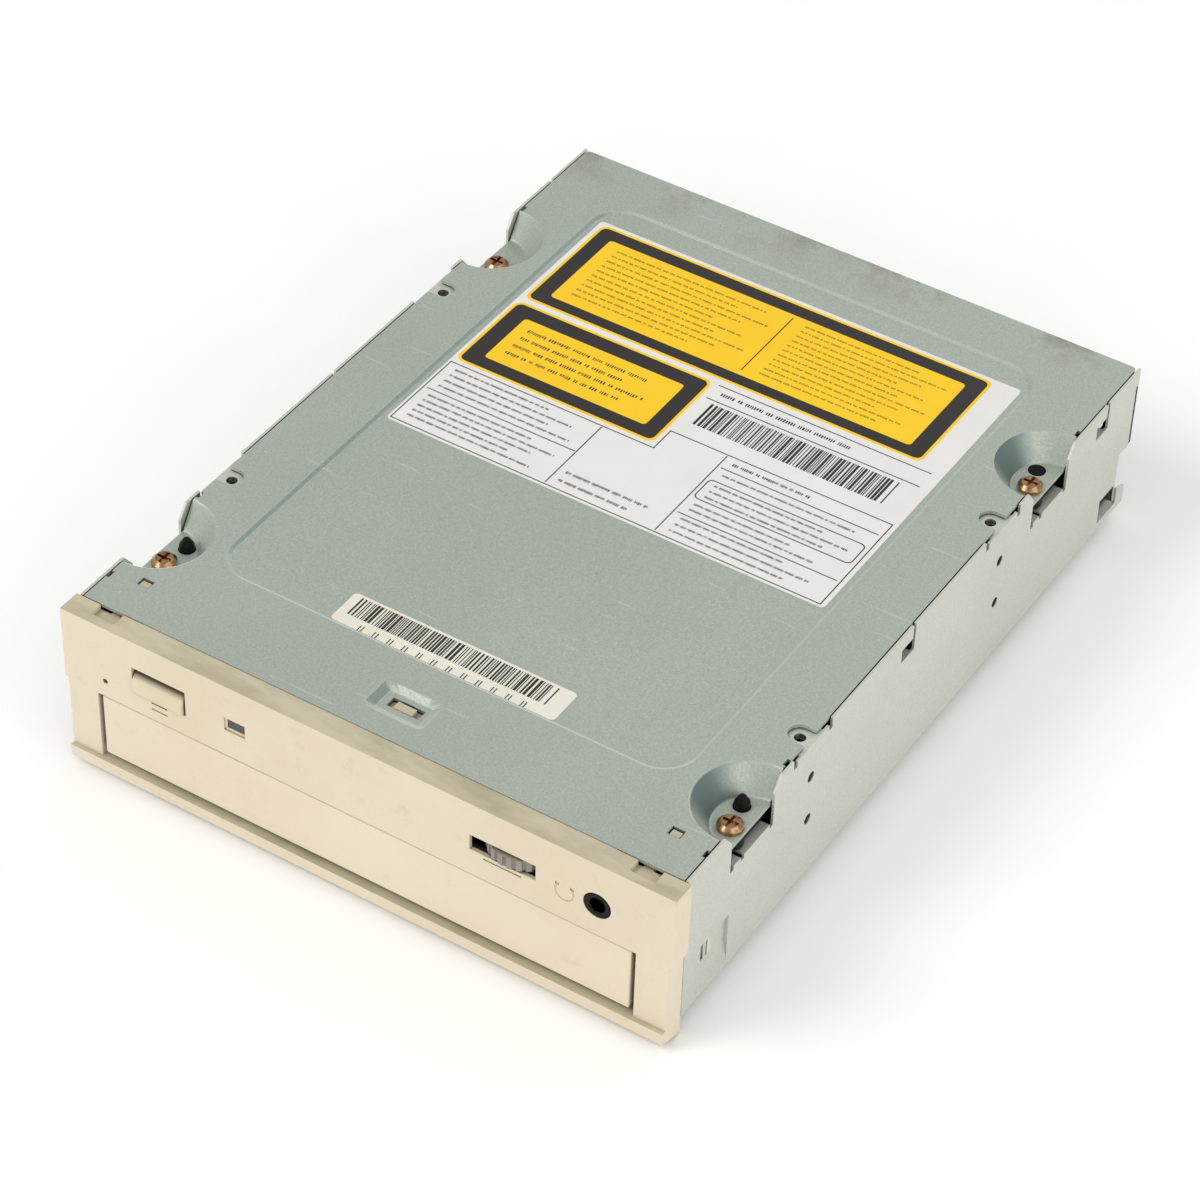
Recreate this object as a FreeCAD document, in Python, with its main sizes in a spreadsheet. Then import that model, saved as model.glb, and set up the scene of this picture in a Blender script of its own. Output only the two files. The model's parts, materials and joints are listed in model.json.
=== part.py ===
import FreeCAD, Part
import math
import os
import re

import Sketcher

# A half-height CD-ROM drive, lying on the side that faces up in use: its bottom cover is on top.
# Every piece is modelled in the drive's own frame, in millimetres: X across, with 0 on the centre
# line, Y to the rear, with 0 on the bezel's rear face, and Z up, with 0 on the bottom cover.
# A size that ends in drop is a depth below the bottom cover. The placement of each piece then
# brings the origin to the middle of the whole, at the height of the bezel's lowest edge.

SIZES = {
    # Fits: how far a cut or a joined block runs past the face it meets, and three narrow gaps
    "over": 1.0, "root": 0.5, "near": 0.3, "snug": 0.2, "hair": 0.1,
    # Outer case: a sheet folded to a U, with the side walls and the mounting holes
    "case_half": 73.03, "case_front": 0.15, "rear_margin": 63.85, "wall": 0.6, "case_drop": 39.8,
    "fold_r": 2.3, "crown_side": 15.03, "crown_front": 14.0, "crown_rear_gap": 14.5,
    "crown_tall": 1.5, "crown_r": 9.0, "crown_slope": 45.0, "side_hole_r": 1.25, "collar_r": 2.2,
    "collar_deep": 1.0, "first_hole_y": 47.4, "hole_pitch_y": 79.25, "ear_inset": 3.18,
    "upper_hole_drop": 10.23, "lower_hole_drop": 22.07, "ear_drop": 1.05, "ear_half": 4.6,
    "ear_reach": 6.4, "relief_half": 7.6, "relief_drop": 1.9, "relief_wide": 1.4,
    "window_long": 16.3, "window_back": 8.6, "window_drop": 10.5, "window_lean": 3.2,
    "flange_reach": 2.8, "notch_drop": 11.6, "notch_wide": 1.3, "notch_step": 4.0, "slot_a_y": 83.5,
    "slot_b_gap": 20.2, "slot_long": 5.5, "slot_drop": 7.0, "slot_top_drop": 3.5, "slot_wide": 1.0,
    "rear_cut_long": 5.5, "rear_cut_top": 21.0, "rear_cut_low": 29.5, "tab_front_gap": 13.0,
    "tab_rear_gap": 4.1, "tab_drop": 36.0, "tab_reach": 5.6, "tab_slope": 2.0,
    "rear_lip_drop": 33.8, "post_top_drop": 4.5, "post_gap_y": 1.2, "emboss_front": 6.5,
    "emboss_rear": 17.0, "emboss_top": 23.5, "emboss_low": 36.0, "emboss_deep": 0.8,
    "emboss_slope_drop": 30.5, "emboss_slot_y": 7.5, "emboss_slot_wide": 1.4,
    "emboss_slot_pitch": 2.5, "emboss_slot_drop": 29.5,
    # Bottom cover: a flat sheet with a sunken panel and four dishes for its screws
    "sheet": 0.8, "cover_gap": 0.3, "cover_front": 0.12, "cover_rear_gap": 0.4,
    "cover_corner_r": 1.2, "cover_flange_drop": 3.2, "cover_end_gap": 8.0, "flange_gap": 2.0,
    "cover_rear_drop": 4.2, "panel_side": 16.28, "panel_front": 22.3, "panel_rear_gap": 14.5,
    "panel_r": 8.5, "panel_deep": 0.5, "panel_slope": 60.0, "dish_inset": 1.03, "dish_y": 25.0,
    "dish_behind": 22.55, "dish_rim_r": 12.0, "dish_floor_r": 8.0, "dish_deep": 6.0,
    "screw_inset": 4.03, "screw_ahead": 2.5, "rear_screw_ahead": 2.2, "screw_head_r": 2.75,
    "screw_head_tall": 1.7, "screw_dome": 0.8, "screw_r": 1.45, "screw_long": 4.0,
    "screw_play": 0.1, "cross_wide": 0.7, "cross_long": 3.4, "cross_deep": 1.1, "pin_inset": 5.13,
    "pin_behind": 3.8, "pin_r": 1.65, "pin_tip_r": 0.75, "pin_tip_drop": 3.2,
    "pin_shoulder_drop": 4.7, "pin_play": 0.25, "stud_inset": 5.53, "stud_r": 1.75,
    "keyhole_r": 2.6, "latch_inset": 8.98, "latch_hole_half": 1.45, "latch_hole_front": 9.0,
    "latch_hole_long": 2.35, "edge_notch_y": 8.4, "edge_notch_wide": 2.0, "edge_notch_deep": 0.7,
    "edge_notch_ahead": 8.0, "dimple_half_x": 7.2, "dimple_x": 0.2, "dimple_front": 5.5,
    "dimple_rear": 15.0, "dimple_deep": 1.2, "dimple_slope": 60.0, "dimple_r": 1.6,
    "dimple_slot_half": 3.85, "dimple_slot_x": 0.55, "dimple_slot_front": 9.1,
    "dimple_slot_long": 2.7,
    # Labels stuck on the sunken panel
    "label_thick": 0.12, "label_side": 2.05, "label_long": 86.5, "label_rear_gap": 7.0,
    "label_r": 1.0, "tag_half": 27.2, "tag_front_gap": 0.9, "tag_tall": 9.3, "tag_r": 1.0,
    # Bezel
    "bezel_over": 0.87, "pillar_step": 0.9, "bezel_thick": 5.55, "bezel_wall": 2.2,
    "bezel_top_drop": 0.2, "bezel_step_drop": 18.8, "pillar_wide": 7.5, "opening_top_drop": 19.3,
    "lip_drop": 37.1, "lip_reach": 6.7, "lip_front_drop": 40.0, "foot_drop": 42.4,
    "notch_aside": 0.75, "bezel_notch_half": 2.95, "bezel_notch_long": 3.3, "bezel_notch_deep": 1.3,
    "arm_half": 1.1, "arm_drop": 1.5, "arm_thick": 1.2, "arm_end": 11.3, "hook_long": 1.9,
    "hook_play": 0.35, "mid_arm_drop": 2.3, "mid_hook_drop": 1.0, "mid_hook_half": 2.2,
    "mid_hook_long": 2.0, "side_arm_gap": 0.3, "side_arm_thick": 1.3, "side_arm_top": 24.2,
    "side_arm_low": 30.0, "side_arm_short": 5.5, "engrave_deep": 0.25, "engrave_wide": 0.45,
    # Controls: eject button, emergency hole, lamp, volume wheel, headphone jack
    "button_inset": 24.45, "button_half": 6.75, "button_top_drop": 7.4, "button_low_drop": 13.9,
    "button_gap": 0.28, "button_side_gap": 0.5, "button_proud": 1.0, "button_thick": 3.4,
    "button_bulge": 2.2, "button_travel": 1.0, "button_lip": 0.6, "stem_half": 1.6,
    "stem_drop": 10.6, "stem_end": 3.1, "pinhole_inset": 10.6, "pinhole_drop": 15.0,
    "pinhole_r": 0.65, "mark_half": 2.0, "mark_first_drop": 14.7, "mark_second_drop": 16.4,
    "lamp_aside": 19.25, "lamp_half": 2.15, "lamp_top_drop": 9.0, "lamp_low_drop": 11.65,
    "lamp_rim_half": 2.6, "lamp_rim_aside": 0.15, "lamp_rim_top": 8.9, "lamp_rim_low": 12.3,
    "lamp_rim_deep": 0.4, "pane_back": 2.2, "pane_lip": 0.7, "pane_play": 0.05, "led_r": 1.5,
    "led_rim_r": 1.9, "led_rear": 3.4, "led_leg_x": 1.27, "leg_half": 0.25, "led_leg_y": 2.8,
    "wheel_aside": 21.0, "wheel_y": 1.6, "wheel_r": 8.0, "wheel_top_drop": 9.2,
    "wheel_low_drop": 12.0, "wheel_rib_count": 24, "wheel_groove_r": 0.45, "wheel_bore_r": 1.6,
    "wheel_dish_r": 5.76, "wheel_play": 0.06, "slot_aside": 0.95, "volume_slot_half": 7.75,
    "volume_slot_top": 8.6, "volume_slot_low": 12.6, "slot_skin": 0.9, "slot_pocket": 1.6,
    "pot_half": 4.3, "pot_drop": 9.0, "wedge_mark_half": 4.45, "wedge_mark_drop": 13.6,
    "jack_inset": 17.6, "jack_drop": 11.35, "jack_ring_r": 3.05, "jack_bore_r": 1.8,
    "jack_hole_play": 0.15, "jack_half": 4.1, "jack_front": 3.2, "jack_rear": 8.8,
    "jack_low_drop": 14.7, "jack_bore_long": 13.5, "icon_aside": 7.5, "icon_drop": 11.9,
    "icon_r": 2.1, "icon_open": 110.0, "icon_ear_half": 0.45, "icon_ear_top": 9.9,
    "switch_half": 3.1, "switch_front": 4.6, "switch_rear": 10.2, "switch_low_drop": 13.6,
    "plunger_half": 1.1, "plunger_tip_y": 3.4, "plunger_in": 1.6, "plunger_play": 0.1,
    # Main board and what is soldered to it
    "board_side": 0.5, "board_front": 0.6, "board_rear_gap": 1.7, "board_drop": 5.6,
    "board_thick": 1.6, "board_notch_r": 13.2, "board_screw_inset": 2.5, "board_screw_ahead": 9.0,
    "board_screw_behind": 8.8, "board_hole_r": 1.6, "board_screw_head_r": 2.6,
    "board_screw_head_tall": 1.5, "board_screw_long": 5.0, "board_screw_dome": 0.4,
    "board_cross_long": 2.8, "board_cross_deep": 0.8, "chip_half": 9.0, "chip_tall": 2.0,
    "chip_x": 22.0, "chip_y": 84.0, "chip_pitch_y": 44.0, "small_chip_half": 5.5,
    "small_chip_x": -26.0, "cap_r": 3.0, "cap_tall": 5.4, "cap_x": 17.0, "cap_y": 24.0,
    "cap_pitch_x": 7.4, "cap_count": 3, "plug_rear_gap": 0.3, "pitch": 2.54,
    "header_pin_half": 0.32, "data_x": 6.0, "data_half": 29.0, "data_deep": 10.2,
    "data_low_drop": 16.4, "data_wall": 1.5, "data_floor": 2.5, "data_columns": 20,
    "data_pin_gap": 1.6, "key_half": 2.2, "power_x": -37.5, "power_half": 11.5, "power_deep": 12.2,
    "power_low_drop": 17.6, "power_wall": 1.1, "power_floor": 2.2, "power_pitch": 5.08,
    "power_pin_r": 1.05, "power_pin_gap": 1.8, "audio_x": 54.4, "audio_half": 5.9,
    "audio_deep": 8.2, "audio_low_drop": 14.2, "audio_wall": 0.9, "audio_pin_gap": 1.6,
    "jumper_x": 42.0, "jumper_half": 3.9, "jumper_deep": 9.2, "jumper_base": 2.6,
    "jumper_low_drop": 13.0, "jumper_pin_gap": 1.2, "jumper_cap_long": 5.4, "jumper_cap_wall": 0.75,
    "pin_slack": 0.06,
    # Chassis frame: black plastic, with the tray's guides and the motor's cup
    "frame_side": 2.03, "frame_wall": 2.4, "frame_front": 1.5, "frame_rear_gap": 2.5,
    "frame_low_gap": 0.5, "deck_drop": 15.0, "deck_thick": 2.0, "deck_front": 3.0,
    "corner_room": 3.0, "corner_deep": 5.0, "deck_rear_gap": 13.5, "frame_top_drop": 13.5,
    "front_wall_side": 4.63, "front_wall_end": 20.4, "wall_joint": 2.0, "well_left_side": 22.5,
    "well_right_side": 14.5, "well_under_cam": 2.3, "well_rear_gap": 3.0, "ledge_under": 1.6,
    "ledge_thick": 1.2, "ledge_front": 6.0, "ledge_rear_gap": 2.0, "tray_play": 0.4,
    "shelf_reach": 11.03, "shelf_drop": 8.4, "shelf_thick": 1.2, "shelf_gap": 1.83,
    "shelf_half_y": 7.2, "support_gap": 4.03, "boss_r": 3.0, "board_post_r": 2.3,
    "rear_wall_top": 19.0, "tab_play": 0.8, "post_reach": 0.8, "screw_room_r": 2.4,
    "bracket_half_y": 4.0, "bracket_low": 19.5, "bracket_thick": 3.3, "bracket_gap": 0.3,
    "rail_hook_x": 26.0, "rail_hook_wide": 4.0, "hook_reach": 1.6, "hook_tall": 1.4,
    # Tray drive: motor, belt and two gears
    "gear_y": 16.0, "gear_inset": 14.0, "rack_module": 1.0, "tray_gear_teeth": 18,
    "stage_module": 0.8, "stage_gear_teeth": 32, "stage_pinion_teeth": 14, "post_r": 1.5,
    "post_play": 0.05, "gear_low_drop": 28.2, "stage_low_drop": 25.4, "stage_top_drop": 22.8,
    "pulley_low_drop": 21.4, "pulley_top_drop": 18.8, "pulley_r": 11.0, "motor_pulley_r": 3.0,
    "belt_half": 0.6, "belt_drop": 20.1, "belt_gap": 0.05, "groove_play": 0.15, "flange_over": 0.9,
    "belt_span": 26.4, "motor_r": 12.2, "motor_tall": 12.3, "motor_boss_r": 3.0,
    "motor_boss_tall": 0.9, "cup_wall": 1.6, "cup_floor": 1.2, "cup_play": 0.15,
    "motor_shaft_r": 1.0, "motor_top_drop": 5.1, "cup_hole_r": 6.0, "gear_hub_r": 3.0,
    "gear_tip_drop": 27.9, "backlash_share": 0.2,
    # Disc tray and its front
    "fascia_gap": 1.15, "fascia_top_drop": 19.5, "fascia_low_drop": 35.6, "fascia_deep": 3.35,
    "fascia_skin": 1.9, "fascia_rim": 1.7, "fascia_rib_half": 10.0, "tray_side": 0.35,
    "tray_rear": 160.0, "tray_low_drop": 33.0, "tray_top_drop": 28.6, "disc_y": 66.0,
    "disc_seat_r": 60.4, "disc_seat_drop": 30.8, "small_seat_r": 40.4, "small_seat_drop": 29.9,
    "tray_slot_half": 23.5, "rack_front": 10.0, "rack_end_gap": 3.0, "rack_top_drop": 25.7,
    "rack_back": 1.65, "tray_rib_inset": 3.7, "tray_rib_thick": 1.6, "tray_rib_drop": 26.0,
    "finger_r": 11.0, "finger_y": 4.5,
    # Cam slider, lift frame and the metal traverse on its dampers
    "cam_half": 34.0, "cam_deep": 8.2, "cam_lift_gap": 1.8, "cam_web": 2.0, "cam_top_drop": 13.7,
    "cam_gap": 0.1, "cam_web_top": 9.0, "cam_web_low": 20.4, "cam_travel": 16.0, "cam_rise": 4.08,
    "cam_pin_x": 20.0, "cam_pin_r": 1.2, "cam_slot_half": 1.3, "cam_slot_over": 2.0,
    "lift_side": 2.5, "lift_front": 40.0, "lift_rear_gap": 3.0, "lift_low_drop": 17.2,
    "lift_thick": 3.0, "lift_open_half": 26.0, "lift_front_border": 10.0, "lift_rear_border": 9.0,
    "pivot_inset": 3.0, "pivot_drop": 15.7, "pivot_r": 1.5, "pivot_play": 0.05, "pivot_long": 3.1,
    "pivot_root": 2.2, "motor_room": 0.7, "damper_inset": 5.0, "damper_end": 7.0, "damper_r": 4.5,
    "damper_neck_r": 3.2, "damper_low_drop": 22.6, "damper_screw_head_r": 3.6,
    "damper_screw_head_tall": 1.2, "damper_screw_long": 7.0, "damper_cross": 1.5,
    "small_cross_deep": 0.6, "damper_play": 0.1, "plate_left_side": 5.0, "plate_right_side": 1.0,
    "plate_front_gap": 7.0, "plate_rear_gap": 10.0, "plate_low_drop": 21.4, "plate_thick": 1.2,
    "sled_window_left": 22.6, "sled_window_right": 17.0, "sled_window_play": 0.4,
    "sled_window_end": 6.0,
    # Spindle, turntable and clamper
    "spindle_r": 12.5, "spindle_low_drop": 28.9, "spindle_rotor_r": 10.5, "spindle_step_drop": 26.5,
    "spindle_shaft_r": 1.0, "turntable_r": 15.0, "turntable_top_drop": 29.6, "disc_plane": 32.0,
    "pad_thick": 0.5, "pad_in_r": 10.5, "hub_r": 7.4, "hub_tip_r": 6.4, "hub_straight": 1.1,
    "hub_drop": 34.0, "shaft_play": 0.05, "clamper_r": 16.0, "clamper_neck_r": 10.4,
    "clamper_face_drop": 33.6, "clamper_low_drop": 37.4, "clamper_cup_r": 8.7,
    "clamper_cup_deep": 2.4, "bridge_drop": 34.6, "bridge_sheet": 0.8, "bridge_gap": 0.4,
    "bridge_reach": 18.0, "bridge_hole_r": 11.6, "clamper_gap": 0.3, "magnet_r": 7.6,
    "magnet_tall": 1.0, "magnet_play": 0.05, "bridge_screw_inset": 2.6, "bridge_screw_y": 8.0,
    "bridge_screw_head_r": 2.4, "bridge_screw_head_tall": 1.2, "bridge_screw_r": 0.95,
    "bridge_screw_long": 1.9, "bridge_cross": 1.2, "bridge_flange": 3.0,
    # Pickup sled on its two rods, with its rack, gear and motor
    "rod_r": 1.5, "rod_left": -19.0, "rod_right": 13.5, "rod_drop": 24.2, "rod_ahead": 4.6,
    "rod_short": 0.9, "holder_half": 2.8, "holder_long": 3.8, "holder_wall": 0.6, "rod_hold": 0.02,
    "holder_low_drop": 26.6, "rod_play": 0.05, "sled_left": 22.0, "sled_right": 16.0,
    "sled_gap": 2.1, "sled_long": 25.4, "sled_low_drop": 28.2, "sled_top_drop": 21.8,
    "optics_left": 13.0, "optics_right": 10.0, "optics_top_drop": 16.8, "optics_margin": 2.0,
    "sled_travel": 36.5, "lens_behind": 7.4, "lens_pocket_half": 6.0, "lens_pocket_drop": 26.2,
    "lens_half": 5.2, "lens_low_drop": 30.2, "lens_top_drop": 26.8, "lens_r": 2.4, "lens_dome": 0.7,
    "lens_flat_r": 1.32, "lens_edge": 0.4, "lens_rim": 0.6, "sled_rack_x": 23.5, "sled_module": 0.6,
    "sled_gear_teeth": 16, "sled_rack_low": 26.0, "sled_rack_top": 23.5, "rack_behind": 3.4,
    "sled_rack_long": 41.5, "sled_gear_behind": 38.3, "sled_rack_back": 2.4, "big_module": 0.5,
    "big_teeth": 40, "pinion_teeth": 12, "big_low_drop": 23.2, "big_top_drop": 21.7,
    "sled_post_r": 1.2, "sled_post_drop": 26.4, "pinion_turn": -45.0, "sled_motor_r": 7.5,
    "sled_motor_tall": 9.0, "pinion_low_drop": 23.4, "sled_shaft_r": 0.75, "shaft_room": 0.8,
}


# Sizes and places that follow from others, each by a named step
RULES = {
    # Outer case and bottom cover
    "case_rear": "first_hole_y + hole_pitch_y + rear_margin",
    "crown_half": "case_half - crown_side",
    "crown_rear": "case_rear - crown_rear_gap",
    "ear_hole_x": "case_half - ear_inset",
    "slot_b_y": "case_rear - slot_b_gap",
    "rear_cut_y": "case_rear - rear_cut_long",
    "tab_front_y": "case_rear - tab_front_gap",
    "tab_rear_y": "case_rear - tab_rear_gap",
    "cover_half": "case_half - wall - cover_gap",
    "cover_rear": "case_rear - cover_rear_gap",
    "panel_half": "case_half - panel_side",
    "panel_rear": "case_rear - panel_rear_gap",
    "dish_x": "case_half - dish_inset",
    "rear_hole_y": "first_hole_y + hole_pitch_y",
    "rear_dish_y": "rear_hole_y + dish_behind",
    "screw_x": "case_half - screw_inset",
    "screw_y": "dish_y - screw_ahead",
    "rear_screw_y": "rear_dish_y - rear_screw_ahead",
    "pin_x": "case_half - pin_inset",
    "pin_y": "dish_y + pin_behind",
    "stud_x": "case_half - stud_inset",
    "stud_y": "rear_dish_y + pin_behind",
    "latch_hole_x": "case_half - latch_inset",
    # Labels
    "label_half": "panel_half - label_side",
    "label_rear": "panel_rear - label_rear_gap",
    "label_front": "label_rear - label_long",
    "tag_front": "panel_front + tag_front_gap",
    "tag_rear": "tag_front + tag_tall",
    # Bezel and controls
    "bezel_half": "case_half + bezel_over",
    "pillar_half": "bezel_half - pillar_step",
    "opening_half": "pillar_half - pillar_wide",
    "bezel_notch_x": "latch_hole_x + notch_aside",
    "button_x": "-(bezel_half - button_inset)",
    "pinhole_x": "-(bezel_half - pinhole_inset)",
    "lamp_x": "button_x + lamp_aside",
    "lamp_rim_x": "lamp_x - lamp_rim_aside",
    "jack_x": "bezel_half - jack_inset",
    "icon_x": "jack_x - icon_aside",
    "wheel_x": "jack_x - wheel_aside",
    "volume_slot_x": "wheel_x - slot_aside",
    # Main board and connectors
    "shelf_inner": "case_half - shelf_reach",
    "board_half": "shelf_inner - board_side",
    "board_rear": "case_rear - board_rear_gap",
    "board_screw_x": "board_half - board_screw_inset",
    "board_screw_front": "dish_y - board_screw_ahead",
    "board_screw_rear": "rear_dish_y + board_screw_behind",
    "plug_rear": "case_rear - plug_rear_gap",
    "data_front": "plug_rear - data_deep",
    "data_pin_rear": "plug_rear - data_pin_gap",
    "power_front": "plug_rear - power_deep",
    "power_pin_rear": "plug_rear - power_pin_gap",
    "audio_front": "plug_rear - audio_deep",
    "audio_pin_rear": "plug_rear - audio_pin_gap",
    "jumper_front": "plug_rear - jumper_deep",
    "jumper_pin_rear": "plug_rear - jumper_pin_gap",
    # Tray front, tray and the gears that follow its rack
    "fascia_half": "opening_half - fascia_gap",
    "tray_half": "fascia_half - tray_side",
    "tray_rib_x": "tray_half - tray_rib_inset",
    "rack_end": "tray_rear - rack_end_gap",
    "tray_gear_x": "-(tray_half - gear_inset)",
    "pulley_x": "tray_gear_x + stage_module * (stage_gear_teeth + stage_pinion_teeth) / 2",
    "motor_x": "pulley_x + belt_span",
    # Chassis frame
    "frame_half": "case_half - frame_side",
    "frame_rear": "case_rear - frame_rear_gap",
    "frame_low_drop": "case_drop - wall - frame_low_gap",
    "deck_rear": "case_rear - deck_rear_gap",
    "front_wall_half": "case_half - front_wall_side",
    "well_left": "frame_half - well_left_side",
    "well_right": "frame_half - well_right_side",
    "cam_rear": "lift_front - cam_lift_gap",
    "cam_front": "cam_rear - cam_deep",
    "well_front": "cam_rear - well_under_cam",
    "well_rear": "deck_rear - well_rear_gap",
    "ledge_half": "tray_half - ledge_under",
    "ledge_rear": "deck_rear - ledge_rear_gap",
    "shelf_side": "case_half - shelf_gap",
    "shelf_support": "case_half - support_gap",
    "rear_wall_front": "frame_rear - frame_wall",
    # Lift frame and traverse
    "lift_left": "well_left - lift_side",
    "lift_right": "well_right - lift_side",
    "lift_rear": "well_rear - lift_rear_gap",
    "lift_open_front": "lift_front + lift_front_border",
    "lift_open_rear": "lift_rear - lift_rear_border",
    "pivot_y": "lift_rear - pivot_inset",
    "plate_left": "lift_left - plate_left_side",
    "plate_right": "lift_right - plate_right_side",
    "plate_front": "lift_front + plate_front_gap",
    "plate_rear": "lift_rear - plate_rear_gap",
    "damper_left": "-(plate_left - damper_inset)",
    "damper_right": "plate_right - damper_inset",
    "damper_front": "plate_front + damper_end",
    "damper_rear": "plate_rear - damper_end",
    # Clamper bridge, and the sled with its rods, window, rack and gear
    "bridge_half": "frame_half - frame_wall - bridge_gap",
    "bridge_screw_x": "bridge_half - bridge_screw_inset",
    "bridge_front": "disc_y - bridge_reach",
    "bridge_rear": "disc_y + bridge_reach",
    "sled_front": "disc_y + spindle_r + sled_gap",
    "lens_y": "sled_front + lens_behind",
    "sled_window_front": "sled_front - sled_window_play",
    "sled_window_rear": "sled_front + sled_long + sled_travel + sled_window_end",
    "rod_front": "sled_front - rod_ahead",
    "rod_rear": "sled_window_rear - rod_short",
    "sled_rack_front": "sled_front + rack_behind",
    "sled_gear_y": "sled_rack_front + sled_gear_behind",
    "sled_gear_x": "sled_rack_x + sled_module * sled_gear_teeth / 2",
    "big_distance": "big_module * (big_teeth + pinion_teeth) / 2",
    "pinion_x": "sled_gear_x + big_distance * cos(pinion_turn * 1deg)",
    "pinion_y": "sled_gear_y + big_distance * sin(pinion_turn * 1deg)",
}

document = FreeCAD.newDocument("cd_rom_drive")
sheet = document.addObject("Spreadsheet::Sheet", "dims")
for row, (word, number) in enumerate(SIZES.items(), start=1):
    sheet.set("A%d" % row, word)
    sheet.set("B%d" % row, str(number))
    sheet.setAlias("B%d" % row, word)
document.recompute()

ORIGIN_Y = "(lip_reach - case_rear) / 2"
ORIGIN_Z = "foot_drop"
TURNS = {
    "x": FreeCAD.Rotation(FreeCAD.Vector(0, 1, 0), 90),
    "y": FreeCAD.Rotation(FreeCAD.Vector(1, 0, 0), -90),
    "z": FreeCAD.Rotation(),
}
PLANE_TURNS = {
    "xy": FreeCAD.Rotation(),
    "xz": FreeCAD.Rotation(FreeCAD.Vector(1, 0, 0), 90),
    "yz": FreeCAD.Rotation(FreeCAD.Vector(1, 1, 1), 120),
}
NORMALS = {"xy": "z", "xz": "y", "yz": "x"}
drafts = []
pieces = []


def written(text, cell):
    """An expression with its rules written out, and each word of the sheet put in its own way."""
    def word(match):
        name = match.group(0)
        if name in RULES:
            return "(%s)" % written(RULES[name], cell)
        return cell(name) if name in SIZES else name
    return re.sub(r"[a-z][a-z_]*", word, str(text))


def bound(text):
    """An expression with each word of the sheet pointed at its cell."""
    return written(text, lambda name: "dims." + name)


def size(text):
    """The number that an expression comes to, with the numbers that the sheet holds."""
    numbers = written(text, lambda name: "(%s)" % sheet.get(name))
    return FreeCAD.Units.Quantity(numbers).Value


def bind(thing, path, text):
    thing.setExpression(path, bound(text))


def both(side, low, high):
    """A span across the drive on the right (1) or mirrored to the left (-1)."""
    if side > 0:
        return low, high
    return "-(%s)" % high, "-(%s)" % low


def signed(side, text):
    return text if side > 0 else "-(%s)" % text


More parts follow.
